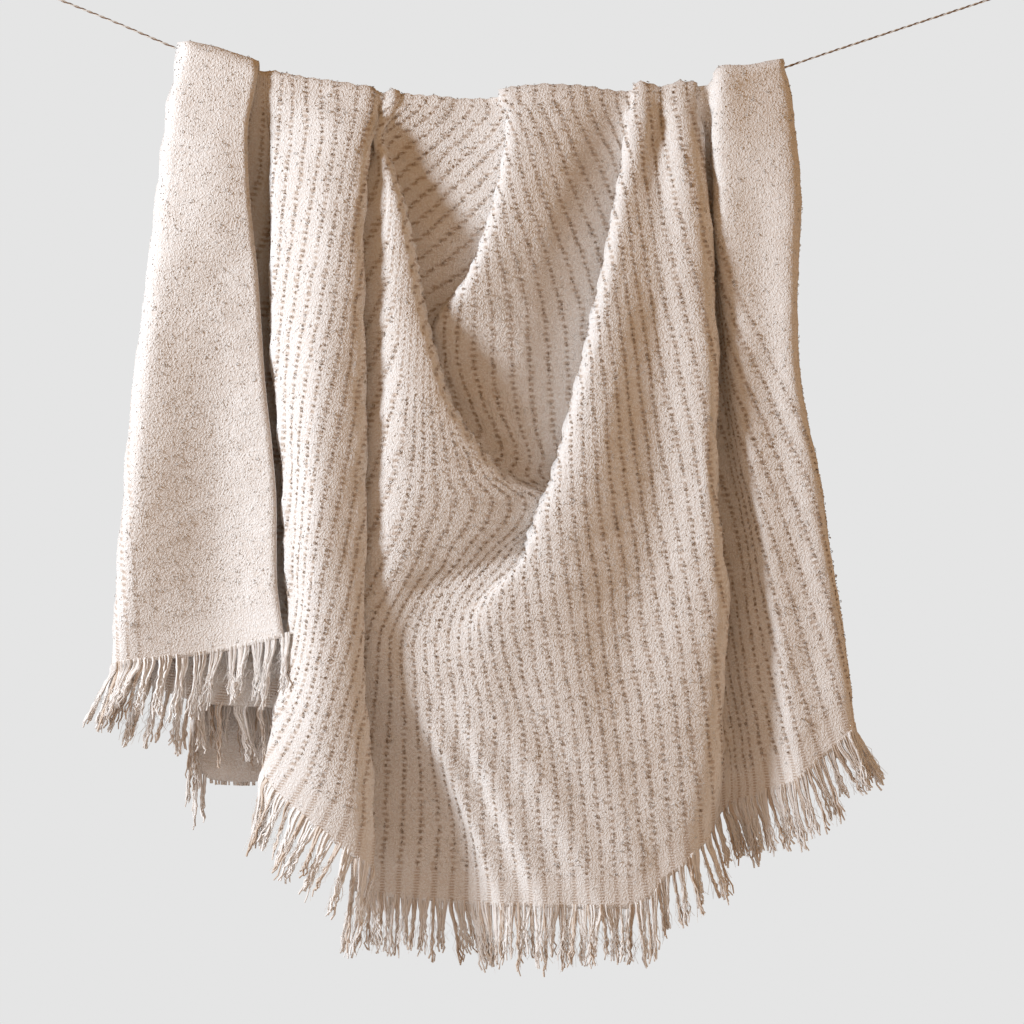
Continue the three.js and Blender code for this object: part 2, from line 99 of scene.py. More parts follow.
studio = {
    "lens": 150, "sensor": 36, "viewWidth": 1.024, "planeY": -0.045,
    "target": (0, 416.5),          # x and drop of the middle of the view
    "ambient": 0.25, "ambientColour": (1.0, 0.5, 0.16), "backgroundGrey": 0.783,
    "floorDrop": 1.15, "floorRadius": 1.5,
    # each lamp's place from the middle of the view, its size, its power and its colour
    "lamps": {
        "keyLight": ((-2.6, -1.15, 1.05), 0.6, 91, (0.915, 0.985, 1.06)),
        "fillLight": ((0.6, -3.4, 0.9), 1.6, 7, (1, 0.88, 0.74)),
        "warmBounce": ((0.5, -1.6, -1.6), 2.0, 5, (1, 0.64, 0.40)),
        "sideLight": ((2.6, -0.5, 0.3), 0.8, 7, (1, 0.82, 0.64)),
    },
}


def aimAt(thing, target):
    thing.rotation_euler = (Vector(target) - thing.location).to_track_quat("-Z", "Y").to_euler()


def addAreaLight(name, offset, size, power, colour, target):
    light = bpy.data.lights.new(name, "AREA")
    light.shape = "DISK"
    light.size = size
    light.energy = power
    light.color = colour
    lamp = bpy.data.objects.new(name, light)
    lamp.location = Vector(target) + Vector(offset)
    bpy.context.collection.objects.link(lamp)
    aimAt(lamp, target)


def makeStudio():
    scene = bpy.context.scene
    middle = place(studio["target"][0], 0, studio["target"][1])
    camera = bpy.data.cameras.new("camera")
    camera.lens = studio["lens"]
    camera.sensor_width = studio["sensor"]
    cameraObject = bpy.data.objects.new("camera", camera)
    distance = studio["viewWidth"] * studio["lens"] / studio["sensor"]
    cameraObject.location = (middle.x, studio["planeY"] - distance, middle.z)
    cameraObject.rotation_euler = (math.pi / 2, 0, 0)
    bpy.context.collection.objects.link(cameraObject)
    scene.camera = cameraObject
    scene.view_settings.view_transform = "Standard"
    for name, (offset, size, power, colour) in studio["lamps"].items():
        addAreaLight(name, offset, size, power, colour, middle)
    world = bpy.data.worlds.new("softRoom")
    world.use_nodes = True
    scene.world = world
    nodes, links = world.node_tree.nodes, world.node_tree.links
    ambient = nodes["Background"]
    ambient.inputs["Color"].default_value = (*studio["ambientColour"], 1)
    ambient.inputs["Strength"].default_value = studio["ambient"]
    seen = nodes.new("ShaderNodeBackground")
    seen.inputs["Color"].default_value = (1, 1, 1, 1)
    seen.inputs["Strength"].default_value = studio["backgroundGrey"]
    rays = nodes.new("ShaderNodeLightPath")
    mix = nodes.new("ShaderNodeMixShader")
    links.new(rays.outputs["Is Camera Ray"], mix.inputs[0])
    links.new(ambient.outputs[0], mix.inputs[1])
    links.new(seen.outputs[0], mix.inputs[2])
    links.new(mix.outputs[0], nodes["World Output"].inputs["Surface"])
    rim = [(middle.x + studio["floorRadius"] * math.cos(a), studio["floorRadius"] * math.sin(a),
            -studio["floorDrop"] - 0.1) for a in (2 * math.pi * k / 64 for k in range(64))]
    floor = meshObject("floor", rim, [list(range(64))])
    pale = bpy.data.materials.new("paleFloor")
    pale.use_nodes = True
    pale.node_tree.nodes["Principled BSDF"].inputs["Base Color"].default_value = (0.72, 0.72, 0.72, 1)
    pale.node_tree.nodes["Principled BSDF"].inputs["Roughness"].default_value = 0.9
    floor.data.materials.append(pale)


makeStudio()
print("studio ready")


def mathNode(tree, operation, *values):
    node = tree.nodes.new("ShaderNodeMath")
    node.operation = operation
    for socket, value in zip(node.inputs, values):
        if isinstance(value, (int, float)):
            socket.default_value = value
        else:
            tree.links.new(value, socket)
    return node.outputs[0]


def times(tree, first, second):
    return mathNode(tree, "MULTIPLY", first, second)


def plus(tree, first, second):
    return mathNode(tree, "ADD", first, second)


def less(tree, first, second):
    return mathNode(tree, "SUBTRACT", first, second)


def attributeNode(tree, name):
    node = tree.nodes.new("ShaderNodeAttribute")
    node.attribute_name = name
    return node


def rangeNode(tree, value, low, high, toLow=0.0, toHigh=1.0):
    node = tree.nodes.new("ShaderNodeMapRange")
    node.interpolation_type = "SMOOTHSTEP"
    tree.links.new(value, node.inputs["Value"])
    for name, number in (("From Min", low), ("From Max", high), ("To Min", toLow), ("To Max", toHigh)):
        node.inputs[name].default_value = number
    return node.outputs["Result"]


def noiseNode(tree, vector, scale, detail=2.0, roughness=0.5):
    node = tree.nodes.new("ShaderNodeTexNoise")
    tree.links.new(vector, node.inputs["Vector"])
    for name, number in (("Scale", scale), ("Detail", detail), ("Roughness", roughness)):
        node.inputs[name].default_value = number
    return node.outputs["Fac"]


def rampNode(tree, value, stops):
    node = tree.nodes.new("ShaderNodeValToRGB")
    ramp = node.color_ramp
    while len(ramp.elements) < len(stops):
        ramp.elements.new(0.5)
    for element, (position, colour) in zip(ramp.elements, stops):
        element.position = position
        element.color = (*colour, 1)
    tree.links.new(value, node.inputs["Fac"])
    return node.outputs["Color"]


def mixColours(tree, share, first, second):
    node = tree.nodes.new("ShaderNodeMix")
    node.data_type = "RGBA"
    for socket, value in ((node.inputs[0], share), (node.inputs[6], first), (node.inputs[7], second)):
        tree.links.new(value, socket)
    return node.outputs[2]


def newMaterial(name, roughness, sheen=0.0, sheenTint=(1, 1, 1)):
    material = bpy.data.materials.new(name)
    material.use_nodes = True
    shader = material.node_tree.nodes["Principled BSDF"]
    shader.inputs["Roughness"].default_value = roughness
    shader.inputs["Specular IOR Level"].default_value = 0.15
    shader.inputs["Sheen Weight"].default_value = sheen
    shader.inputs["Sheen Roughness"].default_value = 0.6
    shader.inputs["Sheen Tint"].default_value = (*sheenTint, 1)
    return material, material.node_tree, shader


def addBump(tree, shader, height, distance, strength):
    bump = tree.nodes.new("ShaderNodeBump")
    bump.inputs["Distance"].default_value = distance
    bump.inputs["Strength"].default_value = strength
    tree.links.new(height, bump.inputs["Height"])
    tree.links.new(bump.outputs["Normal"], shader.inputs["Normal"])


# The line: two twisted yarns, with an eye and a knot at each end.
twine = {
    "route": [
        [-482, -110.5], [-452, -99], [-400, -78], [-365, -63], [-338, -51.5], [-320, -45], [-290, -34.5],
        [-256, -23.5], [-212, -14], [-172, -7], [-136, -2.5], [-72, 1.5], [-12, 3.5], [48, 3], [122, 0],
        [165, -3.5], [201, -10], [238, -20.5], [275, -32.5], [310, -44.5], [390, -71], [475, -99],
        [508, -110],
    ],
    "radius": 1.15, "yarnRadius": 0.66, "yarnOffset": 0.56, "lay": 14.0, "step": 1.3, "sides": 6,
    "eyeRadius": 6, "knotRadius": 2.6, "knotLength": 7, "knotGap": 0.3, "knotYarn": 0.85,
    "eyes": [(-489.8, -113.5), (515.8, -112.6)],
}


def splinePoints(points, step):
    out = []
    count = len(points)
    for i in range(count - 1):
        p0 = points[max(i - 1, 0)]
        p1, p2 = points[i], points[i + 1]
        p3 = points[min(i + 2, count - 1)]
        pieces = max(1, round((p2 - p1).length / step))
        for k in range(pieces):
            t = k / pieces
            out.append(0.5 * ((2 * p1) + (p2 - p0) * t + (2 * p0 - 5 * p1 + 4 * p2 - p3) * t * t
                              + (3 * p1 - p0 - 3 * p2 + p3) * t ** 3))
    out.append(points[-1].copy())
    return out


def tubeAlong(points, radius, sides, vertices, faces):
    first = len(vertices)
    count = len(points)
    side = Vector((0, 1, 0))
    for i, point in enumerate(points):
        heading = (points[min(i + 1, count - 1)] - points[max(i - 1, 0)]).normalized()
        side = (side - heading * side.dot(heading)).normalized()
        other = heading.cross(side)
        thick = radius(i / (count - 1)) if callable(radius) else radius
        for k in range(sides):
            angle = 2 * math.pi * k / sides
            vertices.append(point + (side * math.cos(angle) + other * math.sin(angle)) * thick)
    for i in range(count - 1):
        for k in range(sides):
            a = first + i * sides + k
            b = first + i * sides + (k + 1) % sides
            faces.append((a, b, b + sides, a + sides))
    faces.append(tuple(first + k for k in reversed(range(sides))))
    faces.append(tuple(first + (count - 1) * sides + k for k in range(sides)))


def twineMaterial(name, light, dark):
    material, tree, shader = newMaterial(name, 0.85, 0.15)
    coordinates = tree.nodes.new("ShaderNodeTexCoord").outputs["Object"]
    fibre = noiseNode(tree, coordinates, 900, 3, 0.6)
    tree.links.new(rampNode(tree, fibre, [(0.32, dark), (0.62, light)]), shader.inputs["Base Color"])
    addBump(tree, shader, fibre, 0.0004, 0.5)
    return material


def makeLine():
    brown = twineMaterial("twineBrown", (0.30, 0.19, 0.12), (0.13, 0.08, 0.05))
    white = twineMaterial("twineWhite", (0.86, 0.84, 0.80), (0.60, 0.56, 0.50))
    route = [place(x, 0, drop) for x, drop in twine["route"]]
    middle = splinePoints(route, twine["step"] * mm)
    travelled = [0.0]
    for a, b in zip(middle, middle[1:]):
        travelled.append(travelled[-1] + (b - a).length)
    vertices, faces = [], []
    split = 0
    for yarn in range(2):
        points = []
        for i, point in enumerate(middle):
            heading = (middle[min(i + 1, len(middle) - 1)] - middle[max(i - 1, 0)]).normalized()
            across = Vector((0, 1, 0))
            up = across.cross(heading).normalized()
            turn = 2 * math.pi * travelled[i] / (twine["lay"] * mm) + math.pi * yarn
            points.append(point + (across * math.cos(turn) + up * math.sin(turn)) * twine["yarnOffset"] * mm)
        tubeAlong(points, twine["yarnRadius"] * mm, twine["sides"], vertices, faces)
        split = split or len(faces)
    line = meshObject("twistedTwine", vertices, faces)
    line.data.materials.append(brown)
    line.data.materials.append(white)
    for i, face in enumerate(line.data.polygons):
        face.use_smooth = True
        face.material_index = 0 if i < split else 1
    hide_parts("line_twine")
    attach(line, "root")
    for side, centre, end in (("Left", twine["eyes"][0], twine["route"][0]),
                              ("Right", twine["eyes"][1], twine["route"][-1])):
        makeEye(side, place(centre[0], 0, centre[1]), place(end[0], 0, end[1]), brown, white)


def makeEye(side, centre, end, brown, white):
    heading = (end - centre).normalized()
    up = Vector((0, 1, 0)).cross(heading).normalized()
    vertices, faces = [], []
    steps = 48
    marks = [0]
    for yarn in range(2):                      # the ring: the same two yarns, bent round
        points = []
        for k in range(steps):
            angle = 2 * math.pi * k / steps
            outwards = heading * math.cos(angle) + up * math.sin(angle)
            turn = 6 * angle + math.pi * yarn
            points.append(centre + outwards * (twine["eyeRadius"] + twine["yarnOffset"] * math.cos(turn)) * mm
                          + Vector((0, 1, 0)) * twine["yarnOffset"] * math.sin(turn) * mm)
        first = len(vertices)
        ringOfTube(points, twine["yarnRadius"] * mm, 6, centre, vertices, faces, first)
        marks.append(len(faces))
    knotMiddle = end - heading * (twine["knotLength"] / 2 + twine["knotGap"]) * mm
    turns, wraps = 4, []
    for k in range(12 * turns + 1):            # the barrel knot: four close turns
        angle = 2 * math.pi * k / 12
        along = (k / (12 * turns) - 0.5) * (twine["knotLength"] - 1.6) * mm
        outwards = up * math.cos(angle) + Vector((0, 1, 0)) * math.sin(angle)
        wraps.append(knotMiddle + heading * along + outwards * (twine["knotRadius"] - twine["knotYarn"]) * mm)
    tubeAlong(wraps, twine["knotYarn"] * mm, 6, vertices, faces)
    core = [knotMiddle + heading * s * twine["knotLength"] / 2 * mm for s in (-1.0, -0.4, 0.4, 1.0)]
    tubeAlong(core, 1.2 * mm, 8, vertices, faces)
    eye = meshObject("eyeAndKnot" + side, vertices, faces)
    eye.data.materials.append(brown)
    eye.data.materials.append(white)
    for i, face in enumerate(eye.data.polygons):
        face.use_smooth = True
        face.material_index = 1 if marks[1] <= i < marks[2] else 0
    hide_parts("line_eye_" + side.lower())
    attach(eye, "root")
    return eye


def ringOfTube(points, radius, sides, centre, vertices, faces, first):
    count = len(points)
    for i, point in enumerate(points):
        heading = (points[(i + 1) % count] - points[i - 1]).normalized()
        outwards = point - centre
        outwards = (outwards - heading * outwards.dot(heading)).normalized()
        other = heading.cross(outwards)
        for k in range(sides):
            angle = 2 * math.pi * k / sides
            vertices.append(point + (outwards * math.cos(angle) + other * math.sin(angle)) * radius)
    for i in range(count):
        for k in range(sides):
            a = first + i * sides + k
            b = first + i * sides + (k + 1) % sides
            c = first + ((i + 1) % count) * sides + (k + 1) % sides
            d = first + ((i + 1) % count) * sides + k
            faces.append((a, b, c, d))


makeLine()

cloth = {
    "flat": (1.27, 1.524), "thickness": 3.0,
    "columns": 85,                 # dotted columns of the weave, from selvedge to selvedge
    "frontRows": 150, "wrapRows": 8, "backRows": 52,
    "border": 141,                 # plain border along each selvedge
    "header": 28,                  # flat woven band above the fringe
    "deepen": 0.3,                 # how much deeper the folds grow below the line
    "ribHeight": 0.75, "pile": 0.9, "pileScale": 6, "rumple": 1.5, "rumpleScales": (55, 22),
    "crease": {"x": -60, "drop": 545, "halfWidth": 120, "halfHeight": 75, "rounds": 14, "ease": 0.6},
    "evenBack": 0.55,              # share of the back's height over which its columns spread out evenly
}
cloth["width"] = 1000 * cloth["flat"][0]
cloth["pitch"] = cloth["width"] / cloth["columns"]

# The folds, from the left selvedge to the right one. The columns of hang are drop, x, front, behind, tuck,
# and those of weave are drop and the place in the weave, counted in millimetres of flat cloth from the left
# selvedge, on the fold's front side and behind it.
folds = [
    {"kind": "run", "lean": 0, "atLine": [-256, 15],
     "hang": [[30, -265, 26], [80, -264, 31], [180, -254, 36], [281, -247, 39], [391, -236, 43],
              [500, -233, 47], [541, -227, 50]],
     "foot": [690, -236, 44], "weave": [[0, 0]]},
    {"kind": "run", "lean": -0.1, "atLine": [-298, 14],
     "hang": [[60, -302, 31], [200, -300, 36], [400, -292, 35], [556, -288, 35]],
     "foot": [692, -282, 46], "weave": [[-40, 44], [341, 56], [556, 66]]},
    {"kind": "turn", "side": -1, "reach": 12, "lean": -0.4, "atLine": [-337, 11, 3.8],
     "hang": [[-30, -341, 12, 4], [23, -349, 22, 6], [105, -358, 30, 8], [202, -369, 37, 10],
              [319, -381, 43, 11], [447, -392, 47, 12], [569, -401, 37, 12]],
     "foot": [686, -326, 42, 16], "hemStep": 12, "footStep": -86,
     "weave": [[-50, 82, 96], [341, 130, 168], [569, 168, 208]]},
    {"kind": "run", "lean": -0.05, "atLine": [-300, 3.6],
     "hang": [[60, -303, 7], [200, -310, 10], [400, -318, 11], [608, -316, 12]],
     "foot": [602, -280, 14], "weave": [[-40, 130], [341, 228], [608, 268]]},
    {"kind": "tuck", "side": -1, "reach": 9, "lean": -0.3, "leanBehind": 0.3, "atLine": [-243, 8, 3.6, -8],
     "hang": [[10, -242, 11, 4, -6], [60, -241, 24, 5, 2], [151, -242, 34, 6, 14], [281, -240, 41, 6, 24],
              [340, -233, 44, 6, 28], [460, -227, 49, 6, 30], [545, -225, 51, 7, 32], [616, -236, 51, 8, 34],
              [689, -252, 51, 8, 36]],
     "foot": [660, -222, 34, 16, -10], "hemStep": -70, "footStep": -36,
     "weave": [[-20, 235, 175], [151, 250, 210], [351, 285, 252], [541, 330, 292], [689, 390, 330]]},
    {"kind": "run", "lean": -0.5, "atLine": [-190, 10],
     "hang": [[30, -182, 29], [100, -184, 46], [200, -188, 56], [300, -192, 62], [550, -193, 66],
              [733, -191, 67]],
     "foot": [686, -190, 44], "weave": [[-10, 296], [151, 314], [351, 349], [541, 388], [733, 456]]},
    {"kind": "tuck", "side": 1, "reach": 9, "lean": -0.15, "atLine": [-138, 9, 3.8, 0],
     "hang": [[12, -138, 14, 5, 2], [36, -139, 30, 7, 11], [60, -143, 37, 12, 14], [100, -146, 45, 22, 18],
              [281, -146, 57, 34, 26], [434, -145, 60, 40, 28], [540, -143, 62, 38, 28],
              [638, -141, 62, 12, 28], [700, -138, 62, 7, 28], [767, -136, 62, 6, 28]],
     "foot": [692, -150, 34, 16, -10], "hemStep": 33,
     "weave": [[0, 340, 352], [151, 365, 402], [351, 400, 455], [541, 445, 510], [651, 487, 522],
               [767, 505, 527]]},
    {"kind": "run", "lean": 0.2, "atLine": [-125, 3.8],
     "hang": [[12, -130, 6], [36, -139, 11], [60, -137, 19], [101, -129, 33], [201, -118, 48],
              [301, -108, 56], [400, -106, 58], [461, -116, 54], [505, -130, 52], [545, -135, 45],
              [580, -121, 41], [613, -100, 40], [679, -70, 32], [737, -44, 29], [811, -24, 27]],
     "foot": [694, -116, 18],
     "weave": [[0, 357], [36, 372], [101, 404], [201, 450], [301, 492], [400, 512], [461, 520], [505, 527],
               [545, 540], [580, 560], [613, 584], [679, 617], [737, 642], [811, 664]]},
    {"kind": "tuck", "side": 1, "reach": 7, "lean": 0, "atLine": [-115, 8.5, 3.8, 0],
     "hang": [[12, -122, 8, 5, -4], [36, -131, 20, 7, 5], [64, -122, 28, 8, 12], [100, -110, 36, 9, 22],
              [160, -96, 43, 12, 32], [222, -85, 48, 15, 38], [268, -72, 53, 17, 40], [311, -57, 54, 19, 36],
              [337, -42, 54, 21, 30], [360, -24, 52, 23, 24], [376, -10, 50, 24, 18], [386, 2, 49, 25, 12],
              [393, 16, 47, 26, 6], [400, 34, 44, 27, 1], [412, 44, 40, 28, 0], [428, 37, 40, 30, 0],
              [450, 7, 41, 36, -3], [475, -49, 44, 41, -7], [490, -80, 45, 44, -7], [500, -95, 46, 46, -7],
              [520, -111, 47, 47, -7], [545, -116, 45, 45, -7], [580, -101, 44, 44, -8],
              [620, -76, 46, 46, -10], [690, -49, 38, 38, -11], [811, -2, 36, 36, -12]],
     "foot": [694, -80, 20, 34, -10],
     "weave": [[0, 363, 384], [100, 440, 462], [222, 530, 556], [311, 592, 606], [393, 650, 662],
               [412, 662, 674], [428, 662, 674], [450, 656, 668], [475, 608, 622], [500, 572, 586],
               [545, 570, 584], [580, 586, 601], [620, 612, 629], [811, 688, 707]]},
    {"kind": "run", "lean": 0, "atLine": [-72, 3.8],
     "hang": [[30, -74, 3], [100, -78, 9], [160, -84, 12], [222, -92, 14], [268, -88, 16], [311, -66, 18],
              [360, -20, 20], [386, 8, 22], [400, 52, 26], [412, 64, 27], [425, 59, 30], [450, 26, 36],
              [475, -30, 42], [490, -62, 44], [500, -77, 46], [520, -93, 46], [545, -97, 46], [580, -82, 47],
              [620, -55, 49], [690, -25, 43], [811, 26, 42]],
     "foot": [694, -44, 44],
     "weave": [[0, 424], [100, 494], [222, 572], [311, 614], [386, 664], [412, 684], [450, 680], [475, 634],
               [500, 600], [545, 592], [580, 608], [620, 636], [811, 716]]},
    {"kind": "tuck", "side": -1, "reach": 7, "lean": 0, "atLine": [-12, 15, 4, 0],
     "hang": [[8, -8, 18, 6, 3], [31, -5, 25, 11, 12], [73, -10, 34, 13, 18], [118, -21, 38, 13, 20],
              [152, -33, 39, 12, 20], [188, -50, 38, 13, 18], [205, -63, 36, 14, 14], [225, -77, 31, 16, 8],
              [260, -74, 26, 19, -2], [311, -40, 23, 20, -6], [360, 6, 22, 21, -6], [386, 24, 23, 22, -6],
              [400, 71, 26, 26, -6], [412, 82, 28, 28, -6], [425, 77, 31, 31, -6], [450, 44, 37, 36, -6],
              [475, -12, 44, 43, -6], [490, -44, 45, 45, -6], [500, -59, 47, 47, -7], [520, -75, 47, 47, -8],
              [545, -79, 48, 48, -8], [580, -63, 50, 49, -8], [620, -34, 52, 51, -9], [690, -2, 47, 47, -10],
              [811, 54, 46, 46, -12]],
     "foot": [694, -14, 40, 20, -10],
     "weave": [[0, 735, 477], [31, 718, 505], [100, 688, 552], [152, 655, 566], [188, 632, 576],
               [225, 606, 590], [260, 612, 599], [311, 634, 621], [386, 684, 671], [412, 704, 690],
               [450, 700, 686], [475, 656, 640], [500, 624, 607], [545, 616, 599], [580, 632, 615],
               [620, 660, 643], [811, 745, 726]]},
    {"kind": "run", "lean": 0, "atLine": [58, 17],
     "hang": [[30, 56, 22], [100, 46, 31], [200, 24, 29], [311, 8, 19], [360, 30, 18], [386, 46, 21],
              [400, 88, 25], [412, 98, 27], [425, 92, 30], [450, 58, 37], [475, 2, 43], [490, -31, 46],
              [500, -46, 48], [520, -61, 49], [545, -65, 49], [580, -49, 53], [620, -18, 54], [690, 18, 50],
              [811, 80, 49]],
     "foot": [690, 34, 22],
     "weave": [[0, 800], [100, 754], [200, 706], [311, 684], [386, 706], [412, 722], [450, 716], [475, 671],
               [500, 640], [545, 634], [580, 650], [620, 678], [811, 772]]},
    {"kind": "tuck", "side": -1, "reach": 8, "lean": 0.05, "atLine": [124, 17, 8, 0],
     "hang": [[23, 117, 26, 6, 5], [54, 112, 35, 4, 12], [93, 105, 43, 2, 18], [141, 97, 49, 0, 22],
              [219, 80, 55, -1, 26], [306, 59, 57, 1, 34], [354, 46, 56, 8, 52], [390, 35, 57, 18, 82],
              [412, 26, 58, 24, 94], [425, 20, 58, 28, 92], [450, 11, 58, 35, 62], [475, -9, 57, 43, 22],
              [490, -20, 57, 46, 12], [500, -27, 57, 48, 7], [525, -40, 57, 48, 0], [550, -40, 56, 51, -5],
              [580, -22, 55, 54, -9], [620, 12, 54, 54, -11], [811, 108, 51, 51, -12]],
     "foot": [680, 80, 44, 22, -10],
     "weave": [[0, 935, 860], [141, 875, 800], [219, 838, 772], [306, 800, 752], [375, 775, 745],
               [412, 757, 733], [450, 737, 724], [475, 712, 686], [500, 688, 668], [525, 672, 656],
               [550, 668, 651], [580, 684, 665], [620, 714, 693], [811, 802, 782]]},
    {"kind": "run", "lean": 0.08, "atLine": [138, 15],
     "hang": [[20, 135, 25], [60, 127, 36], [150, 114, 49], [300, 94, 59], [450, 56, 62], [530, 52, 59],
              [620, 72, 57], [800, 140, 52]],
     "foot": [672, 108, 42],
     "weave": [[0, 950], [150, 897], [300, 846], [450, 790], [530, 776], [620, 782], [800, 836]]},
    {"kind": "run", "lean": 0.1, "atLine": [152, 10],
     "hang": [[20, 150, 14], [60, 150, 27], [120, 150, 41], [250, 147, 47], [400, 144, 47], [470, 136, 48],
              [530, 118, 50], [620, 112, 54], [786, 148, 51]],
     "foot": [664, 136, 20],
     "weave": [[0, 967], [120, 949], [250, 922], [400, 893], [470, 872], [530, 848], [620, 826], [786, 846]]},
    {"kind": "run", "lean": 0.18, "atLine": [168, 14],
     "hang": [[20, 169, 24], [60, 170, 38], [120, 174, 46], [250, 180, 51], [400, 184, 52], [600, 180, 56],
              [770, 170, 52]],
     "foot": [650, 160, 40], "weave": [[0, 984], [120, 970], [250, 950], [400, 930], [600, 896], [770, 868]]},
    {"kind": "tuck", "side": 1, "reach": 7, "lean": 0.25, "atLine": [186, 12, 5, 0],
     "hang": [[31, 191, 24, 5, 8], [87, 195, 40, 6, 16], [143, 199, 46, 6, 22], [199, 202, 49, 6, 26],
              [256, 205, 52, 6, 28], [399, 205, 54, 6, 28], [468, 212, 54, 6, 24], [503, 216, 54, 6, 16],
              [585, 210, 53, 7, 4], [679, 205, 50, 8, -8], [753, 193, 47, 10, -10]],
     "foot": [636, 196, 20, 34, -10], "hemStep": -40,
     "weave": [[-5, 1005, 1030], [100, 992, 1050], [256, 970, 1016], [399, 954, 988], [503, 940, 966],
               [585, 926, 948], [679, 912, 930], [753, 893, 912]]},
    {"kind": "tuck", "side": -1, "reach": 5, "lean": 0.3, "atLine": [206, 20, 5, -3],
     "hang": [[31, 203, 29, 6, -2], [87, 203, 35, 6, -1], [131, 204, 37, 6, -3], [180, 209, 38, 8, -5],
              [251, 217, 39, 10, -8], [350, 229, 40, 14, -10], [438, 245, 40, 18, -14],
              [526, 257, 40, 20, -20], [600, 269, 41, 22, -26], [685, 281, 42, 24, -32]],
     "foot": [612, 226, 38, 34, -6], "hemStep": 18,
     "weave": [[-10, 1176, 1150], [135, 1129, 1078], [251, 1096, 1048], [351, 1066, 1020], [438, 1052, 1008],
               [526, 1040, 1000], [685, 1020, 980]]},
    {"kind": "run", "lean": 0.5, "atLine": [238, 14],
     "hang": [[50, 243, 33], [150, 249, 39], [300, 262, 41], [450, 284, 41], [600, 304, 41], [660, 313, 41]],
     "foot": [596, 250, 44], "weave": [[-20, 1208], [150, 1166], [300, 1118], [450, 1088], [660, 1058]]},
    {"kind": "turn", "side": 1, "reach": 5, "lean": 0.45, "atLine": [275, 9.5, 3.8],
     "hang": [[11, 282, 17, 3], [50, 286, 32, 1], [100, 289, 41, -2], [171, 286, 45, -4], [230, 285, 46, -5],
              [273, 287, 46, -5], [321, 295, 46, -5], [359, 303, 46, -5], [453, 317, 45, -5],
              [550, 332, 44, -5], [638, 344, 43, -5]],
     "foot": [580, 288, 36, 16], "hemStep": -12, "footStep": -8,
     "weave": [[-30, 1236, 1253], [135, 1194, 1234], [351, 1127, 1180], [450, 1112, 1166],
               [638, 1088, 1148]]},
    {"kind": "run", "lean": 0.1, "atLine": [256, 3.7],
     "hang": [[50, 262, 0], [120, 256, -4], [230, 234, -6], [351, 228, -6], [603, 255, -6]],
     "foot": [568, 262, 16], "weave": [[-20, 1262], [230, 1238], [603, 1210]]},
    {"kind": "run", "lean": 0, "atLine": [246, 3.7],
     "hang": [[50, 246, 0], [120, 232, -4], [230, 192, -6], [351, 158, -6], [569, 168, -6]],
     "foot": [560, 236, 16], "weave": [[0, 1270]]},
]


def lineDropAt(x):
    return valueAt(twine["route"], 1, x)


# The folds deepen below the line: the share by which the table's depths grow.
def depthAt(belowLine):
    return 1 + cloth["deepen"] * smoothStep(10, 170, belowLine)


# A fold's cross-section is a short run of guides. Each gives the share of the way behind the fold, and
# from the fold's values its x, how far it stands out, and its place in the weave.
def foldSpots(fold):
    if fold["kind"] == "run":
        return [(0.0, lambda v: (v["x"], v["front"], v["weave"]))]
    side, reach = fold["side"], fold["reach"]
    if fold["kind"] == "turn":
        def around(angle):
            share = angle / math.pi
            return (share, lambda v: (v["x"] - side * reach * (1 - math.sin(angle)),
                                      v["front"] + (v["behind"] - v["front"]) * (1 - math.cos(angle)) / 2,
                                      v["weave"] + (v["weaveBehind"] - v["weave"]) * share))
        return [around(math.pi * k / 4) for k in range(5)]

    def spot(share, inward, weaveAt):
        return (share, lambda v: (v["x"] + side * inward(v["tuck"]),
                                  v["front"] + (v["behind"] - v["front"]) * share, weaveAt(v)))
    spots = [
        spot(0.0, lambda tuck: -reach, lambda v: v["weave"] - side * reach),
        spot(0.2, lambda tuck: 0, lambda v: v["weave"]),
        spot(0.5, lambda tuck: -tuck / 2, lambda v: (v["weave"] + v["weaveBehind"] - side * reach) / 2),
        spot(0.8, lambda tuck: -tuck, lambda v: v["weaveBehind"] - side * reach),
        spot(1.0, lambda tuck: -tuck + reach, lambda v: v["weaveBehind"]),
    ]
    return spots if side > 0 else spots[::-1]


def foldValues(fold, table, drop):
    values = {"x": valueAt(table, 1, drop), "front": valueAt(table, 2, drop, True), "behind": 0, "tuck": 0}
    if len(table[0]) > 3:
        values["behind"] = valueAt(table, 3, drop, True)
    if len(table[0]) > 4:
        values["tuck"] = valueAt(table, 4, drop)
    values["weave"] = valueAt(fold["weave"], 1, drop)
    values["weaveBehind"] = valueAt(fold["weave"], 2, drop) if len(fold["weave"][0]) > 2 else values["weave"]
    return values


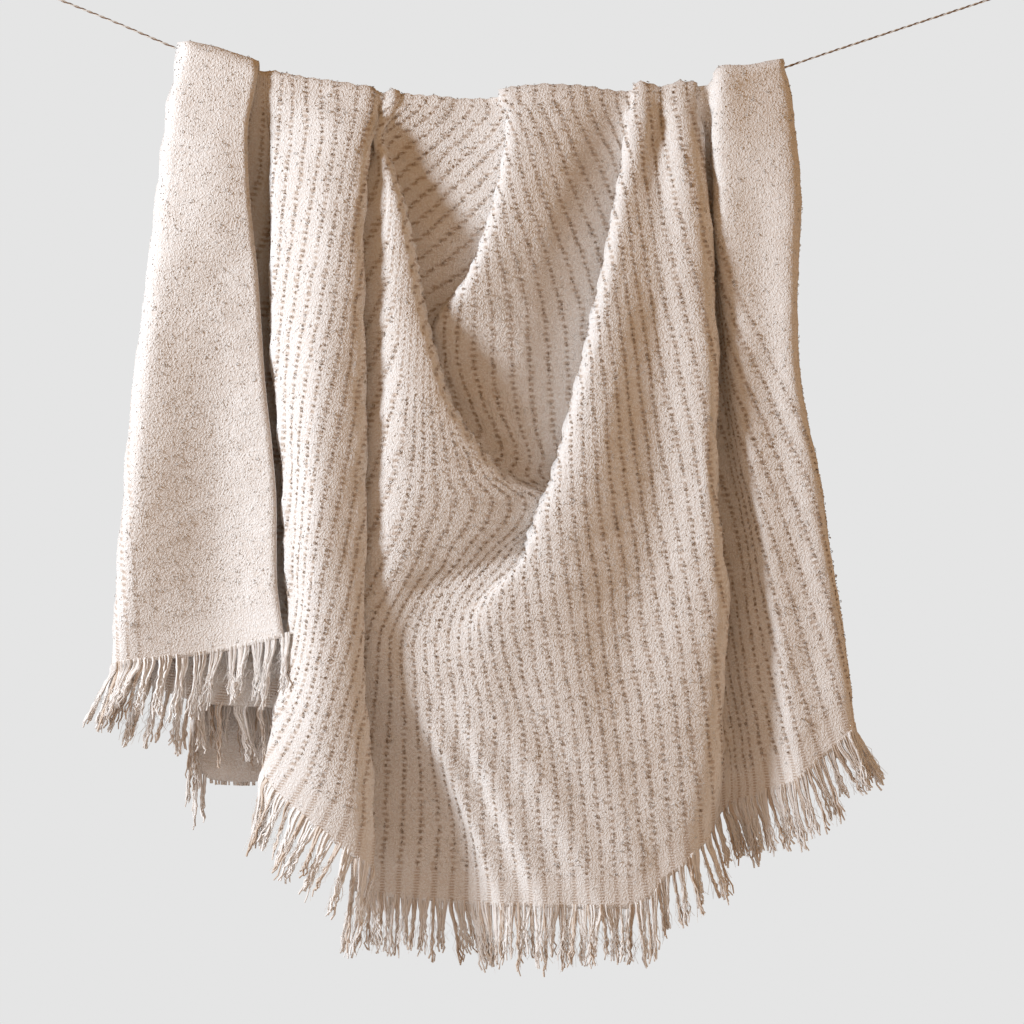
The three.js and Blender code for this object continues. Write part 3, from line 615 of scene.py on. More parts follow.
# One guide as rows of (x, out, drop, weave, along): the back from its foot up, over the line, and down the
# front. along is how far down the cloth a point lies, counted from the line.
def guideRows(fold, share, spot):
    table = [[lineDropAt(fold["atLine"][0]), *fold["atLine"]]] + fold["hang"]
    x, out, weave = spot(foldValues(fold, table, table[0][0]))
    lineDrop = lineDropAt(x)
    hem = fold["hang"][-1][0] + fold.get("hemStep", 0) * share
    foot = fold["foot"][0] + fold.get("footStep", 0) * share
    footValues = dict(zip(("x", "front", "behind", "tuck"), fold["foot"][1:] + [0, 0]))
    footX, footOut, _ = spot({**footValues, "weave": 0, "weaveBehind": 0})
    rows = []
    for i in range(cloth["backRows"]):
        t = 1 - i / cloth["backRows"]
        backOut = -(out + (footOut - out) * t * (2 - t))
        down = t * (foot - lineDrop)
        rows.append((x + (footX - x) * t, backOut, lineDrop + down, weave, -down - math.pi * out))
    for i in range(cloth["wrapRows"] + 1):
        turn = math.pi * (1 - i / cloth["wrapRows"])
        rows.append((x, out * math.cos(turn), lineDrop - out * math.sin(turn), weave, -turn * out))
    for i in range(1, cloth["frontRows"] + 1):
        drop = lineDrop + i / cloth["frontRows"] * (hem - lineDrop)
        alongX, front, weave = spot(foldValues(fold, table, drop))
        rows.append((alongX, front * depthAt(drop - lineDrop), drop, weave, drop - lineDrop))
    return rows


# Points of the cloth's middle surface, with the columns of the grid along the columns of the weave.
def clothGrid():
    guides, leans = [], []
    for fold in folds:
        for share, spot in foldSpots(fold):
            guides.append(guideRows(fold, share, spot))
            leans.append(fold["lean"] + (fold.get("leanBehind", fold["lean"]) - fold["lean"]) * share)
    g = np.array(guides).transpose(1, 0, 2)                       # rows, guides, values
    points = np.stack([g[..., 0] + origin["x"], -g[..., 1], -g[..., 2] - origin["drop"]], -1)
    weave, down = g[..., 3], g[..., 4]
    width = cloth["width"]
    spread = np.cumsum(np.r_[0, np.linalg.norm(np.diff(points[0], axis=0), axis=1)])
    spread *= width / spread[-1]
    for r in range(cloth["backRows"] + cloth["wrapRows"] + 1):
        t = min(1.0, max(0.0, 1 - r / cloth["backRows"]) / cloth["evenBack"])
        weave[r] += (spread - weave[r]) * t * t * (3 - 2 * t)
    for r in range(len(weave)):
        for i in range(1, weave.shape[1]):
            weave[r, i] = max(weave[r, i], weave[r, i - 1] + 0.6)
        weave[r] *= width / weave[r, -1]
    wanted = np.linspace(0, width, 2 * cloth["columns"] + 1)
    grid = np.zeros((len(points), len(wanted), 3))
    along = np.array([np.interp(wanted, weave[r], down[r]) for r in range(len(weave))])
    hemLean = np.interp(wanted, weave[-1], leans)
    for r, row in enumerate(points):
        chord = np.sqrt(np.maximum(np.linalg.norm(np.diff(row, axis=0), axis=1), 1e-3))
        before = np.vstack([2 * row[0] - row[1], row[:-2], row[-2:-1]])[:-1]
        after = np.vstack([row[2:], 2 * row[-1] - row[-2]])
        a, b = row[:-1], row[1:]
        d1 = chord[:, None]
        d0 = np.vstack([d1[:1], d1[:-1]])
        d2 = np.vstack([d1[1:], d1[-1:]])
        startPull = ((a - before) / d0 - (b - before) / (d0 + d1) + (b - a) / d1) * d1
        endPull = ((b - a) / d1 - (after - a) / (d1 + d2) + (after - b) / d2) * d1
        i = np.clip(np.searchsorted(weave[r], wanted, side="right") - 1, 0, len(row) - 2)
        f = ((wanted - weave[r, i]) / (weave[r, i + 1] - weave[r, i]))[:, None]
        grid[r] = ((2 * f ** 3 - 3 * f ** 2 + 1) * a[i] + (f ** 3 - 2 * f ** 2 + f) * startPull[i]
                   + (3 * f ** 2 - 2 * f ** 3) * b[i] + (f ** 3 - f ** 2) * endPull[i])
    return grid, wanted, along, hemLean


# Where the two lips run together the crease fades out, so the grid is smoothed there.
def softenCrease(grid):
    x = grid[..., 0] - origin["x"]
    drop = -grid[..., 2] - origin["drop"]
    onFront = np.arange(len(grid))[:, None] > cloth["backRows"] + cloth["wrapRows"]
    crease = cloth["crease"]
    away = np.hypot((x - crease["x"]) / crease["halfWidth"], (drop - crease["drop"]) / crease["halfHeight"])
    share = np.clip(1.4 - away, 0, 1) * onFront
    share = share[1:-1, 1:-1, None]
    for _ in range(crease["rounds"]):
        middle = (grid[:-2, 1:-1] + grid[2:, 1:-1] + grid[1:-1, :-2] + grid[1:-1, 2:]) / 4
        grid[1:-1, 1:-1] += (middle - grid[1:-1, 1:-1]) * crease["ease"] * share


def unit(vectors):
    return vectors / np.maximum(np.linalg.norm(vectors, axis=-1, keepdims=True), 1e-9)


# Unit normals, away from the line. Both sides of a point count the same, whatever their length.
def gridNormals(grid):
    down = unit(np.diff(grid, axis=0))
    across = unit(np.diff(grid, axis=1))
    along = np.zeros_like(grid)
    along[:-1] += down
    along[1:] += down
    sideways = np.zeros_like(grid)
    sideways[:, :-1] += across
    sideways[:, 1:] += across
    return unit(np.cross(along, sideways))


def distanceFromEnd(grid, fromFront):
    steps = np.linalg.norm(np.diff(grid, axis=0), axis=2)
    if fromFront:
        return np.vstack([np.cumsum(steps[::-1], axis=0)[::-1], np.zeros((1, grid.shape[1]))])
    return np.vstack([np.zeros((1, grid.shape[1])), np.cumsum(steps, axis=0)])


def noiseField(grid, scale, seed):
    shift = Vector((seed * 17.3, seed * 5.1, seed * 9.7))
    flat = grid.reshape(-1, 3)
    return np.array([noise.noise(Vector(p) / scale + shift) for p in flat]).reshape(grid.shape[:2])


def makeThrow():
    grid, weave, along, hemLean = clothGrid()
    softenCrease(grid)
    normals = gridNormals(grid)
    toFront = distanceFromEnd(grid, True)
    toBack = distanceFromEnd(grid, False)
    toHem = np.minimum(toFront, toBack)
    broad, narrow = cloth["rumpleScales"]
    rumple = cloth["rumple"] * noiseField(grid, broad, 1)
    rumple = rumple + 0.5 * cloth["rumple"] * noiseField(grid, narrow, 2)
    grid = grid + normals * (rumple * np.clip(toHem / 40, 0.2, 1))[..., None]
    normals = gridNormals(grid)
    spacing = np.linalg.norm(np.diff(grid, axis=1), axis=2)
    spacing = np.hstack([spacing, spacing[:, -1:]])
    openness = np.clip((spacing / (cloth["pitch"] / 2) - 0.35) / 0.4, 0, 1)
    fromSelvedge = np.minimum(weave, cloth["width"] - weave)
    inField = np.clip((fromSelvedge - cloth["border"]) / 8, 0, 1)
    rib = np.where(np.arange(len(weave)) % 2 == 0, 1.0, -1.0) * inField
    flatBand = np.clip((toHem - cloth["header"]) / 10, 0, 1)
    ribs = cloth["ribHeight"] * rib[None] * openness * (0.25 + 0.75 * flatBand)
    sides = []
    for seed, direction in ((3, 1), (4, -1)):
        pile = cloth["pile"] * noiseField(grid, cloth["pileScale"], seed) * (0.3 + 0.7 * flatBand) * openness
        half = cloth["thickness"] / 2 * (0.6 + 0.4 * flatBand)
        sides.append(grid + normals * (direction * (half + ribs + pile))[..., None])
    rows, columns = grid.shape[:2]
    count = rows * columns
    index = np.arange(count).reshape(rows, columns)
    quads = np.stack([index[:-1, :-1], index[1:, :-1], index[1:, 1:], index[:-1, 1:]], -1).reshape(-1, 4)
    faces = quads.tolist() + (quads[:, ::-1] + count).tolist()
    rim = np.r_[index[0, :], index[1:, -1], index[-1, -2::-1], index[-2:0:-1, 0]]
    faces += [(int(a), int(b), int(b) + count, int(a) + count) for a, b in zip(rim, np.roll(rim, -1))]
    vertices = np.vstack([side.reshape(-1, 3) for side in sides]) * mm
    throw = meshObject("boucleThrow", vertices, faces)
    mesh = throw.data
    mesh.polygons.foreach_set("use_smooth", [True] * len(mesh.polygons))
    weavePlace = np.stack(np.broadcast_arrays(weave[None], along), -1).reshape(-1, 2) * mm
    weavePlace = np.vstack([weavePlace, weavePlace])
    loops = np.zeros(len(mesh.loops), int)
    mesh.loops.foreach_get("vertex_index", loops)
    mesh.uv_layers.new(name="weave").data.foreach_set("uv", weavePlace[loops].ravel())
    addValues(mesh, "hemDistance", np.tile(toHem.ravel() * mm, 2))
    # How thickly the pile stands: full on the front, thinner on the back, and on the inner side only where
    # the flap turns it out.
    front = (np.arange(rows) >= cloth["backRows"])[:, None] * np.ones(columns)
    outer = np.where(front > 0, 1.0, 0.4) * (0.35 + 0.65 * flatBand)
    turned = np.clip((190 - weave) / 12, 0, 1)[None]
    inner = np.where(front > 0, 1.0, 0.5) * turned * (0.35 + 0.65 * flatBand)
    outerHidden = np.clip((weave - 150) / 12, 0.15, 1)[None]
    ribShare = np.where(rib < 0, 0.4, 1.0)[None]
    addValues(mesh, "pileShare", np.r_[(outer * outerHidden * ribShare).ravel(), inner.ravel()])
    throw.data.materials.append(clothMaterial())
    print("throw made:", triangleCount(throw), "triangles")
    return throw, sides, normals, weave, toFront, toBack, openness, hemLean


def addValues(mesh, name, values):
    mesh.attributes.new(name, "FLOAT", "POINT").data.foreach_set("value", np.asarray(values, np.float32))


weaveMarks = {
    "dash": 6.2, "headerBar": 2.8,                   # spacing of the marks along a column
    "column": (0.06, 0.25),                          # half width of a column, as a share of the pitch
    "leftEdge": (134, 146), "rightEdge": (1124, 1136),   # where the columns begin and end
    "wander": 9.0, "share": 0.72, "bump": 1.2,
}
wool = {
    "creamLight": (0.95, 0.94, 0.93), "cream": (0.90, 0.87, 0.845), "creamDeep": (0.83, 0.775, 0.73),
    "taupe": (0.54, 0.41, 0.31), "taupeDeep": (0.38, 0.265, 0.185), "taupeLight": (0.68, 0.55, 0.45),
}


# Stops of a colour ramp that runs from a yarn's deep colour through its own to its light one.
def yarnStops(yarn, *places):
    return list(zip(places, (wool[yarn + "Deep"], wool[yarn], wool[yarn + "Light"])))


def clothMaterial():
    material, tree, shader = newMaterial("boucleWool", 0.95, 0.25, (1, 0.97, 0.93))
    uv = tree.nodes.new("ShaderNodeUVMap")
    uv.uv_map = "weave"
    parts = tree.nodes.new("ShaderNodeSeparateXYZ")
    tree.links.new(uv.outputs["UV"], parts.inputs[0])
    across, along = parts.outputs[0], parts.outputs[1]
    coordinates = tree.nodes.new("ShaderNodeTexCoord").outputs["Object"]
    hemDistance = attributeNode(tree, "hemDistance").outputs["Fac"]
    header = rangeNode(tree, hemDistance, cloth["header"] * mm, (cloth["header"] + 5) * mm, 1, 0)
    # the columns, which wander a little except in the header
    wander = less(tree, noiseNode(tree, coordinates, 55, 2), 0.5)
    wander = times(tree, wander, weaveMarks["wander"] * mm)
    steady = times(tree, wander, less(tree, 1.0, times(tree, header, 0.8)))
    cell = mathNode(tree, "DIVIDE", plus(tree, across, steady), cloth["pitch"] * mm)
    fromMiddle = mathNode(tree, "ABSOLUTE", less(tree, mathNode(tree, "FRACT", cell), 0.5))
    column = rangeNode(tree, fromMiddle, *weaveMarks["column"], 1, 0)
    whole = tree.nodes.new("ShaderNodeTexWhiteNoise")
    whole.noise_dimensions = "1D"
    tree.links.new(mathNode(tree, "FLOOR", cell), whole.inputs["W"])
    # dashes along each column, and the close bars of the header
    phase = plus(tree, mathNode(tree, "DIVIDE", along, weaveMarks["dash"] * mm), whole.outputs["Value"])
    wave = mathNode(tree, "SINE", times(tree, phase, 2 * math.pi))
    broken = times(tree, less(tree, noiseNode(tree, coordinates, 130, 2), 0.5), 3.2)
    dash = rangeNode(tree, plus(tree, wave, broken), -1.0, 1.0)
    bars = mathNode(tree, "SINE", times(tree, along, 2 * math.pi / (weaveMarks["headerBar"] * mm)))
    bar = rangeNode(tree, bars, -0.5, 0.5, 0.25, 1)
    dash = plus(tree, times(tree, dash, less(tree, 1.0, header)), times(tree, bar, header))
    begin = rangeNode(tree, across, *(edge * mm for edge in weaveMarks["leftEdge"]))
    end = rangeNode(tree, across, *(edge * mm for edge in weaveMarks["rightEdge"]), 1, 0)
    inside = times(tree, begin, end)
    dots = times(tree, times(tree, column, dash), inside)
    # curly grain of the yarn, with painted shade between the curls and painted light on their tops: the cream
    # colour follows the same noise that the bump raises and sinks
    curl = tree.nodes.new("ShaderNodeTexVoronoi")
    curl.feature = "SMOOTH_F1"
    curl.inputs["Scale"].default_value = 520
    curl.inputs["Smoothness"].default_value = 0.5
    warp = tree.nodes.new("ShaderNodeVectorMath")
    warp.operation = "ADD"
    swirl = tree.nodes.new("ShaderNodeTexNoise")
    swirl.inputs["Scale"].default_value = 180
    swirl.inputs["Detail"].default_value = 2
    swirlSize = tree.nodes.new("ShaderNodeVectorMath")
    swirlSize.operation = "SCALE"
    swirlSize.inputs["Scale"].default_value = 0.006
    tree.links.new(coordinates, swirl.inputs["Vector"])
    tree.links.new(swirl.outputs["Color"], swirlSize.inputs[0])
    tree.links.new(coordinates, warp.inputs[0])
    tree.links.new(swirlSize.outputs[0], warp.inputs[1])
    tree.links.new(warp.outputs[0], curl.inputs["Vector"])
    curls = rangeNode(tree, curl.outputs["Distance"], 0.15, 0.75, 1, 0)
    fine = noiseNode(tree, coordinates, 620, 3, 0.65)
    blotch = noiseNode(tree, coordinates, 28, 2, 0.6)
    curlGrainAndShade = plus(tree, times(tree, curls, 0.5), times(tree, fine, 0.5))
    curlGrainAndShade = plus(tree, curlGrainAndShade, times(tree, less(tree, blotch, 0.5), 0.35))
    # painted shade and light of the curls: the cream runs from its deep colour in the hollows to its light
    # one on the raised curls, with random blotches of tone mixed in
    cream = rampNode(tree, curlGrainAndShade, yarnStops("cream", 0.18, 0.45, 0.72))
    brown = rampNode(tree, fine, yarnStops("taupe", 0.35, 0.52, 0.72))
    share = times(tree, dots, weaveMarks["share"])
    tree.links.new(mixColours(tree, share, cream, brown), shader.inputs["Base Color"])
    height = plus(tree, times(tree, curls, 0.7), times(tree, fine, 0.5))
    height = less(tree, height, times(tree, dots, 0.4))
    addBump(tree, shader, height, weaveMarks["bump"] * mm, 0.55)
    return material


throw, sides, normals, weave, toFront, toBack, openness, hemLean = makeThrow()
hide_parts("throw_cloth")
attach(throw, "root")

# Yarn that stands on the cloth.
pile = {
    "nubSize": (1.15, 0.8, 0.62), "nubsPerArea": 20000, "nubSeeds": (11, 12),
    "loopRadius": 1.15, "loopYarn": 0.3, "loopTurn": 250, "loopsPerArea": 4200, "loopSeed": 21,
    "smallest": 0.65, "largest": 1.35,
    "dashSpacing": 4.6, "dashJitter": 1.5, "dashSway": 0.9, "dashKept": 0.86,
    "dashRadius": 1.1, "dashYarn": 0.36, "dashTurn": 290,
}


def newTree(name, **sockets):
    tree = bpy.data.node_groups.new(name, "GeometryNodeTree")
    tree.interface.new_socket("Geometry", in_out="INPUT", socket_type="NodeSocketGeometry")
    tree.interface.new_socket("Geometry", in_out="OUTPUT", socket_type="NodeSocketGeometry")
    ids = {}
    for name, kind in sockets.items():
        socket = tree.interface.new_socket(name, in_out="INPUT", socket_type="NodeSocket" + kind)
        ids[name] = socket.identifier
    return tree, ids


def typedNode(tree, kind, dataType="FLOAT"):
    node = tree.nodes.new(kind)
    node.data_type = dataType
    return node


def namedAttribute(tree, name, dataType="FLOAT"):
    node = typedNode(tree, "GeometryNodeInputNamedAttribute", dataType)
    return linkInto(tree, node, Name=name).outputs["Attribute"]


def storedAttribute(tree, geometry, name, value, dataType="FLOAT"):
    node = typedNode(tree, "GeometryNodeStoreNamedAttribute", dataType)
    return linkInto(tree, node, Geometry=geometry, Name=name, Value=value)


# The last nodes of a tree: smooth faces of one material.
def finishTree(tree, geometry, material):
    smooth = linkInto(tree, tree.nodes.new("GeometryNodeSetShadeSmooth"), Geometry=geometry)
    painted = linkInto(tree, tree.nodes.new("GeometryNodeSetMaterial"), Geometry=smooth.outputs[0],
                       Material=material)
    tree.links.new(painted.outputs[0], tree.nodes.new("NodeGroupOutput").inputs[0])


def linkInto(tree, node, **values):
    for name, value in values.items():
        socket = node.inputs[name.replace("_", " ")]
        if isinstance(value, bpy.types.NodeSocket):
            tree.links.new(value, socket)
        else:
            socket.default_value = value
    return node


# Copies of a small piece on a surface, turned at random about its normals, as thick as pileShare says, or on
# the vertices of a host whose facing attribute gives the normals.
def scatterTree(onVertices):
    name = "scatterOnVertices" if onVertices else "scatterOnSurface"
    tree, ids = newTree(name, Density="Float", Seed="Int", Smallest="Float", Largest="Float", Tilt="Float",
                        Piece="Object", Material="Material")
    new = tree.nodes.new
    given = new("NodeGroupInput").outputs
    if onVertices:
        align = new("FunctionNodeAlignRotationToVector")
        align.axis = "Z"
        linkInto(tree, align, Vector=namedAttribute(tree, "facing", "FLOAT_VECTOR"))
        points, rotation = given["Geometry"], align.outputs["Rotation"]
    else:
        density = times(tree, namedAttribute(tree, "pileShare"), given["Density"])
        spread = new("GeometryNodeDistributePointsOnFaces")
        linkInto(tree, spread, Mesh=given["Geometry"], Density=density, Seed=given["Seed"])
        facing = storedAttribute(tree, spread.outputs["Points"], "facing", spread.outputs["Normal"],
                                 "FLOAT_VECTOR")
        points, rotation = facing.outputs[0], spread.outputs["Rotation"]
    low, high = new("ShaderNodeCombineXYZ"), new("ShaderNodeCombineXYZ")
    backward = times(tree, given["Tilt"], -1)
    linkInto(tree, low, X=backward, Y=backward, Z=0.0)
    linkInto(tree, high, X=given["Tilt"], Y=given["Tilt"], Z=2 * math.pi)
    tilt = linkInto(tree, typedNode(tree, "FunctionNodeRandomValue", "FLOAT_VECTOR"), Seed=given["Seed"])
    tree.links.new(low.outputs[0], tilt.inputs[0])
    tree.links.new(high.outputs[0], tilt.inputs[1])
    toRotation = linkInto(tree, new("FunctionNodeEulerToRotation"), Euler=tilt.outputs[0])
    turn = new("FunctionNodeRotateRotation")
    turn.rotation_space = "LOCAL"
    linkInto(tree, turn, Rotation=rotation, Rotate_By=toRotation.outputs[0])
    size = linkInto(tree, typedNode(tree, "FunctionNodeRandomValue"), Seed=given["Seed"])
    tree.links.new(given["Smallest"], size.inputs[2])
    tree.links.new(given["Largest"], size.inputs[3])
    source = linkInto(tree, new("GeometryNodeObjectInfo"), Object=given["Piece"])
    copies = linkInto(tree, new("GeometryNodeInstanceOnPoints"), Points=points,
                      Instance=source.outputs["Geometry"], Rotation=turn.outputs[0], Scale=size.outputs[1])
    tone = typedNode(tree, "FunctionNodeRandomValue")
    keep = storedAttribute(tree, copies.outputs[0], "tone", tone.outputs[1])
    keep.domain = "INSTANCE"
    real = linkInto(tree, new("GeometryNodeRealizeInstances"), Geometry=keep.outputs[0])
    finishTree(tree, real.outputs[0], given["Material"])
    return tree, ids


# Runs a tree on a host's mesh and returns the result as a plain mesh object.
def grow(name, hostMesh, treeAndIds, **settings):
    tree, ids = treeAndIds
    host = bpy.data.objects.new(name + "Host", hostMesh)
    bpy.context.collection.objects.link(host)
    modifier = host.modifiers.new("grow", "NODES")
    modifier.node_group = tree
    for key, value in settings.items():
        modifier[ids[key]] = value
    bpy.context.view_layer.update()
    evaluated = host.evaluated_get(bpy.context.evaluated_depsgraph_get())
    mesh = bpy.data.meshes.new_from_object(evaluated)
    mesh.name = name
    bpy.data.objects.remove(host)
    made = bpy.data.objects.new(name, mesh)
    bpy.context.collection.objects.link(made)
    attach(made, "root")
    print(name, "made:", triangleCount(made), "triangles")
    return made


def yarnMaterial(name, stops, sheen=0.2):
    material, tree, shader = newMaterial(name, 0.95, sheen, (1, 0.97, 0.93))
    tone = attributeNode(tree, "tone").outputs["Fac"]
    coordinates = tree.nodes.new("ShaderNodeTexCoord").outputs["Object"]
    fine = noiseNode(tree, coordinates, 520, 3, 0.6)
    mixed = plus(tree, times(tree, tone, 0.6), times(tree, fine, 0.4))
    tree.links.new(rampNode(tree, mixed, stops), shader.inputs["Base Color"])
    leanNormals(tree, shader, 0.68)
    return material


# Fuzz is lit much as the cloth under it is, so its normals lean towards the facing attribute.
def leanNormals(tree, shader, share):
    facing = attributeNode(tree, "facing")
    own = tree.nodes.new("ShaderNodeNewGeometry")
    blend = tree.nodes.new("ShaderNodeMix")
    blend.data_type = "VECTOR"
    blend.inputs["Factor"].default_value = share
    tree.links.new(own.outputs["Normal"], blend.inputs[4])
    tree.links.new(facing.outputs["Vector"], blend.inputs[5])
    tree.links.new(blend.outputs[1], shader.inputs["Normal"])


def smallNub(name, size):
    x, y, z = (v * mm for v in size)
    points = [(x, 0, 0), (-x, 0, 0), (0, y, 0), (0, -y, 0), (0, 0, z), (0, 0, -z)]
    faces = [(0, 2, 4), (2, 1, 4), (1, 3, 4), (3, 0, 4), (2, 0, 5), (1, 2, 5), (3, 1, 5), (0, 3, 5)]
    return meshObject(name, points, faces)


def smallLoop(name, radius, yarn, turnDegrees, steps):
    points = []
    for k in range(steps):
        angle = math.radians(turnDegrees) * k / (steps - 1) - 0.5
        points.append(Vector((math.cos(angle) * radius, math.sin(angle) * radius * 0.85,
                              (0.35 + 0.75 * math.sin(angle * 0.9)) * radius * 0.7)) * mm)
    vertices, faces = [], []
    tubeAlong(points, yarn * mm, 3, vertices, faces)
    return meshObject(name, vertices, faces)


# Places along every dotted column, on the face that shows, with the cloth's normals there.
def columnPlaces():
    rng = random.Random(5)
    outer = sides[0]
    top = cloth["backRows"] + cloth["wrapRows"] // 2
    found = {"front": [], "back": []}
    for c in range(1, len(weave), 2):
        if not cloth["border"] < weave[c] < cloth["width"] - cloth["border"]:
            continue
        for part, rowsHere, toHem in (("front", range(top, len(outer)), toFront),
                                      ("back", range(0, top), toBack)):
            at = rng.uniform(0, pile["dashSpacing"]) + cloth["header"] + 2
            line = [(toHem[r, c], outer[r, c], normals[r, c], openness[r, c]) for r in rowsHere]
            line.sort(key=lambda entry: entry[0])
            distances = [entry[0] for entry in line]
            while at < distances[-1]:
                sway = Vector(rng.uniform(-1, 1) for _ in range(3)) * pile["dashSway"]
                if rng.random() < pile["dashKept"]:
                    addPlace(found[part], line, distances, at, sway)
                at += pile["dashSpacing"] + rng.uniform(-1, 1) * pile["dashJitter"]
    return found


def addPlace(places, line, distances, at, sway):
    i = min(max(int(np.searchsorted(distances, at)) - 1, 0), len(line) - 2)
    share = min(1, max(0, (at - distances[i]) / max(distances[i + 1] - distances[i], 1e-6)))
    if line[i][3] < 0.45:
        return
    places.append((line[i][1] * (1 - share) + line[i + 1][1] * share + np.array(sway), line[i][2]))


def placesMesh(name, places, lift):
    mesh = bpy.data.meshes.new(name)
    mesh.from_pydata([tuple((point + normal * lift) * mm) for point, normal in places], [], [])
    facing = mesh.attributes.new("facing", "FLOAT_VECTOR", "POINT")
    facing.data.foreach_set("vector", np.array([normal for _, normal in places], np.float32).ravel())
    return mesh


def makePile():
    cream = yarnMaterial("creamYarn", yarnStops("cream", 0.15, 0.42, 0.75))
    brown = yarnMaterial("taupeYarn", yarnStops("taupe", 0.2, 0.5, 0.85))
    nub = smallNub("nubShape", pile["nubSize"])
    loop = smallLoop("loopShape", pile["loopRadius"], pile["loopYarn"], pile["loopTurn"], 6)
    dash = smallLoop("dashShape", pile["dashRadius"], pile["dashYarn"], pile["dashTurn"], 4)
    onSurface, onVertices = scatterTree(False), scatterTree(True)
    places = columnPlaces()
    front = placesMesh("frontPlaces", places["front"], 0.5)
    back = placesMesh("backPlaces", places["back"], 0.4)
    nubs, loops = float(pile["nubsPerArea"]), float(pile["loopsPerArea"])
    nubRange = (pile["smallest"], pile["largest"])
    made = []
    for name, host, tree, piece, material, density, seed, tilt, (smallest, largest) in (
            ("boucleNubsA", throw.data, onSurface, nub, cream, nubs, pile["nubSeeds"][0], 0.5, nubRange),
            ("boucleNubsB", throw.data, onSurface, nub, cream, nubs, pile["nubSeeds"][1], 0.5, nubRange),
            ("boucleLoops", throw.data, onSurface, loop, cream, loops, pile["loopSeed"], 0.9, nubRange),
            ("columnYarnFront", front, onVertices, dash, brown, 0.0, 31, 0.6, nubRange),
            ("columnYarnBack", back, onVertices, nub, brown, 0.0, 32, 0.5, (1.1, 1.7))):
        grown = grow(name, host, tree, Piece=piece, Material=material, Density=density, Seed=seed, Tilt=tilt,
                     Smallest=smallest, Largest=largest)
        made.append(grown)
    for shape in (nub, loop, dash):
        bpy.data.objects.remove(shape)
    return made


fringe = {
    "creamStrands": 9, "brownStrands": 4,                      # strands in a bundle
    "backShare": 0.6,                                          # of those strands, behind
    "fluff": 12, "borderFluff": 20,                            # hairs among the strands, in front only
    "points": 11, "length": {"front": 59, "back": 56}, "lengthSpread": 0.16,
    "strandLength": (0.82, 1.04), "fluffLength": (0.5, 1.0),   # shares of the bundle's length
    "brownWidth": 0.16, "creamWidth": 0.44,                    # half widths of a bundle, shares of the pitch
    "rootUp": 4, "gather": 0.5, "leanSpread": (0.13, 0.09), "upSpread": 0.15,
    "depth": 0.9, "loosen": (3.2, 2.4), "hook": 4,
    "wave": (0.8, 2.0), "waveLength": (8, 15), "fluffWave": 2.2, "fluffWaveLength": 1.6, "fluffLoosen": 2,
    "creamThick": (1.45, 1.0), "brownThick": (1.4, 0.95), "fluffThick": (0.3, 0.16),    # from root to tip
    "thickSpread": (0.65, 1.3),
    "foldedWidth": 100,            # width of the flap's back hem whose fringe is turned up inside
}


def strandTree():
    tree, ids = newTree("strands", Sides="Int", Material="Material")
    new = tree.nodes.new
    given = new("NodeGroupInput").outputs
    curves = linkInto(tree, new("GeometryNodeMeshToCurve"), Mesh=given["Geometry"])
    thick = namedAttribute(tree, "thick")
    sized = linkInto(tree, new("GeometryNodeSetCurveRadius"), Curve=curves.outputs[0], Radius=thick)
    ring = linkInto(tree, new("GeometryNodeCurvePrimitiveCircle"), Resolution=given["Sides"], Radius=1.0)
    tube = linkInto(tree, new("GeometryNodeCurveToMesh"), Curve=sized.outputs[0],
                    Profile_Curve=ring.outputs[0], Fill_Caps=True)
    if "Scale" in tube.inputs:
        tree.links.new(thick, tube.inputs["Scale"])
    finishTree(tree, tube.outputs[0], given["Material"])
    return tree, ids


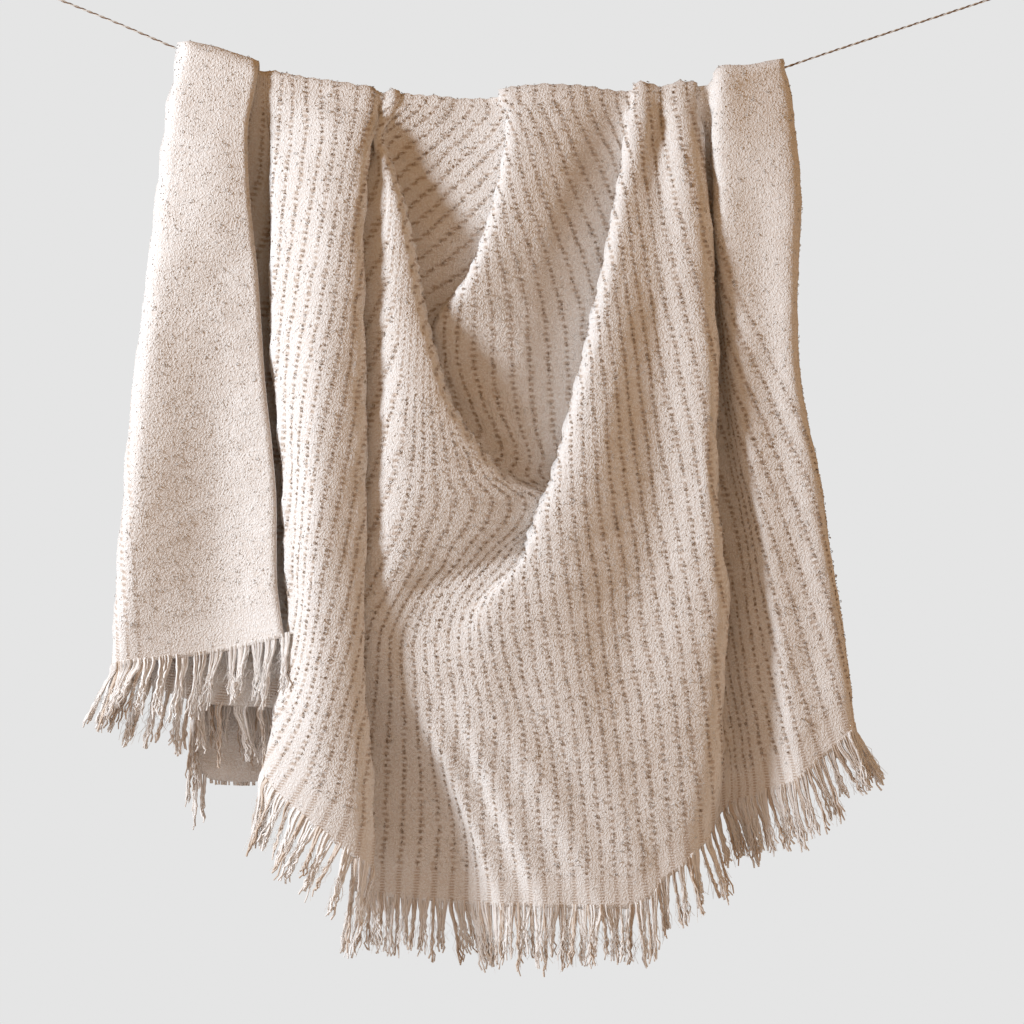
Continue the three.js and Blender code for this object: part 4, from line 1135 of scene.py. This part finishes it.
# Strands of one hem as a mesh of edges: a cream bundle under each rib and a brown one under each column. The
# plain borders have no brown ones.
def strandMesh(name, hemRow, nextRow, length, leans, wanted, seed, turnedUp=False):
    rng = random.Random(seed)

    def either(spread):
        return rng.uniform(-spread, spread)

    points, edges, thick, tone = [], [], [], []
    away = unit(hemRow - nextRow)
    alongHem = unit(np.gradient(hemRow, axis=0))
    hemNormals = unit(np.cross(away, alongHem))
    for c in wanted:
        brown = c % 2 == 1
        inBorder = not cloth["border"] < weave[c] < cloth["width"] - cloth["border"]
        if inBorder and brown:
            continue
        kind = "brown" if brown else "cream"
        count = fringe[kind + "Strands"]
        fluff = fringe["borderFluff"] if inBorder else fringe["fluff"]
        if length == fringe["length"]["back"]:
            count, fluff = round(count * fringe["backShare"]), 0
        root, side, out = Vector(hemRow[c]), Vector(alongHem[c]), Vector(hemNormals[c])
        leanAcross, leanOut = fringe["leanSpread"]
        heading = Vector((leans[c] + either(leanAcross), either(leanOut), -1)).normalized()
        start = Vector(away[c])
        if turnedUp:
            heading = Vector((either(fringe["upSpread"]), 0, 1)).normalized()
            start = heading
        full = length * (1 + either(1) * fringe["lengthSpread"])
        half = cloth["pitch"] * fringe[kind + "Width"]
        for number in range(count + fluff):
            fluffy = number >= count
            own = full * rng.uniform(*fringe["fluffLength" if fluffy else "strandLength"])
            offset = side * either(half) + out * either(fringe["depth"])
            loosen = side * either(fringe["loosen"][0]) + out * either(fringe["loosen"][1])
            wave, waveLength = rng.uniform(*fringe["wave"]), rng.uniform(*fringe["waveLength"])
            if fluffy:
                wave, waveLength = wave * fringe["fluffWave"], waveLength * fringe["fluffWaveLength"]
                loosen = loosen * fringe["fluffLoosen"]
            phase, other = rng.uniform(0, 6.28), rng.uniform(0, 6.28)
            hook = side * either(fringe["hook"])
            first = len(points)
            last = (fringe["points"] - 1) // (2 if fluffy else 1)
            shade = rng.uniform(0.5, 1.0) if brown and not fluffy else rng.uniform(0, 0.42)
            big, small = fringe["fluffThick"] if fluffy else fringe[kind + "Thick"]
            for k in range(last + 1):
                s = k / last
                down = s * (own + fringe["rootUp"]) - fringe["rootUp"]
                gathered = fringe["gather"] * smoothStep(0.05, 0.5, s) * (1 - 0.45 * smoothStep(0.55, 1, s))
                bend = smoothStep(0, 0.35, s)
                at = root + (start * (1 - bend) + heading * bend) * down
                at += offset * (1 - gathered) + loosen * smoothStep(0.45, 1, s) + hook * max(0, s - 0.8) * 2
                swing = wave * smoothStep(0.05, 0.9, s)
                at += side * swing * math.sin(6.28 * down / waveLength + phase)
                at += out * swing * 0.8 * math.sin(6.28 * down / waveLength * 1.13 + other)
                points.append(tuple(at * mm))
                thick.append((big + (small - big) * s) * rng.uniform(*fringe["thickSpread"]) * mm)
                tone.append(shade)
            edges += [(first + k, first + k + 1) for k in range(last)]
    mesh = bpy.data.meshes.new(name)
    mesh.from_pydata(points, edges, [])
    addValues(mesh, "thick", thick)
    addValues(mesh, "tone", tone)
    return mesh


def fringeMaterial():
    material, tree, shader = newMaterial("fringeYarn", 0.95, 0.2, (1, 0.96, 0.92))
    tone = attributeNode(tree, "tone").outputs["Fac"]
    coordinates = tree.nodes.new("ShaderNodeTexCoord").outputs["Object"]
    fine = noiseNode(tree, coordinates, 420, 3, 0.6)
    spread = plus(tree, tone, times(tree, less(tree, fine, 0.5), 0.25))
    tree.links.new(rampNode(tree, spread, [(0.0, (0.97, 0.955, 0.94)), (0.4, (0.94, 0.895, 0.855)),
                                           (0.6, (0.82, 0.72, 0.63)), (1.0, (0.62, 0.495, 0.39))]),
                   shader.inputs["Base Color"])
    return material


def makeFringes():
    tree = strandTree()
    settings = {"Sides": 3, "Material": fringeMaterial()}
    middle = (sides[0] + sides[1]) / 2
    columns = range(len(weave))
    folded = [c for c in columns if weave[c] < fringe["foldedWidth"]]
    hanging = [c for c in columns if weave[c] >= fringe["foldedWidth"]]
    none = np.zeros(len(weave))
    front, back = fringe["length"]["front"], fringe["length"]["back"]
    inset = middle[0] - normals[0] * 3.1      # inside the folded hem, against the cloth
    upper = inset - [[0, 0, -1]]
    frontMesh = strandMesh("frontStrands", middle[-1], middle[-3], front, hemLean, columns, 41)
    backMesh = strandMesh("backStrands", middle[0], middle[2], back, none, hanging, 42)
    foldedMesh = strandMesh("foldedStrands", inset, upper, back, none, folded, 43, True)
    made = []
    for name, node, mesh in (
            ("fringeFront", "fringe_front", frontMesh),
            ("fringeBack", "fringe_back", backMesh),
            ("fringeBackFolded", "fringe_back_folded", foldedMesh)):
        piece = grow(name, mesh, tree, **settings)
        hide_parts(node)
        made.append(piece)
    return made


pileParts = makePile()
fringes = makeFringes()
shown = [piece for piece in bpy.data.objects if piece.type == "MESH" and not piece.hide_render]
print("triangles in all:", sum(triangleCount(piece) for piece in shown))
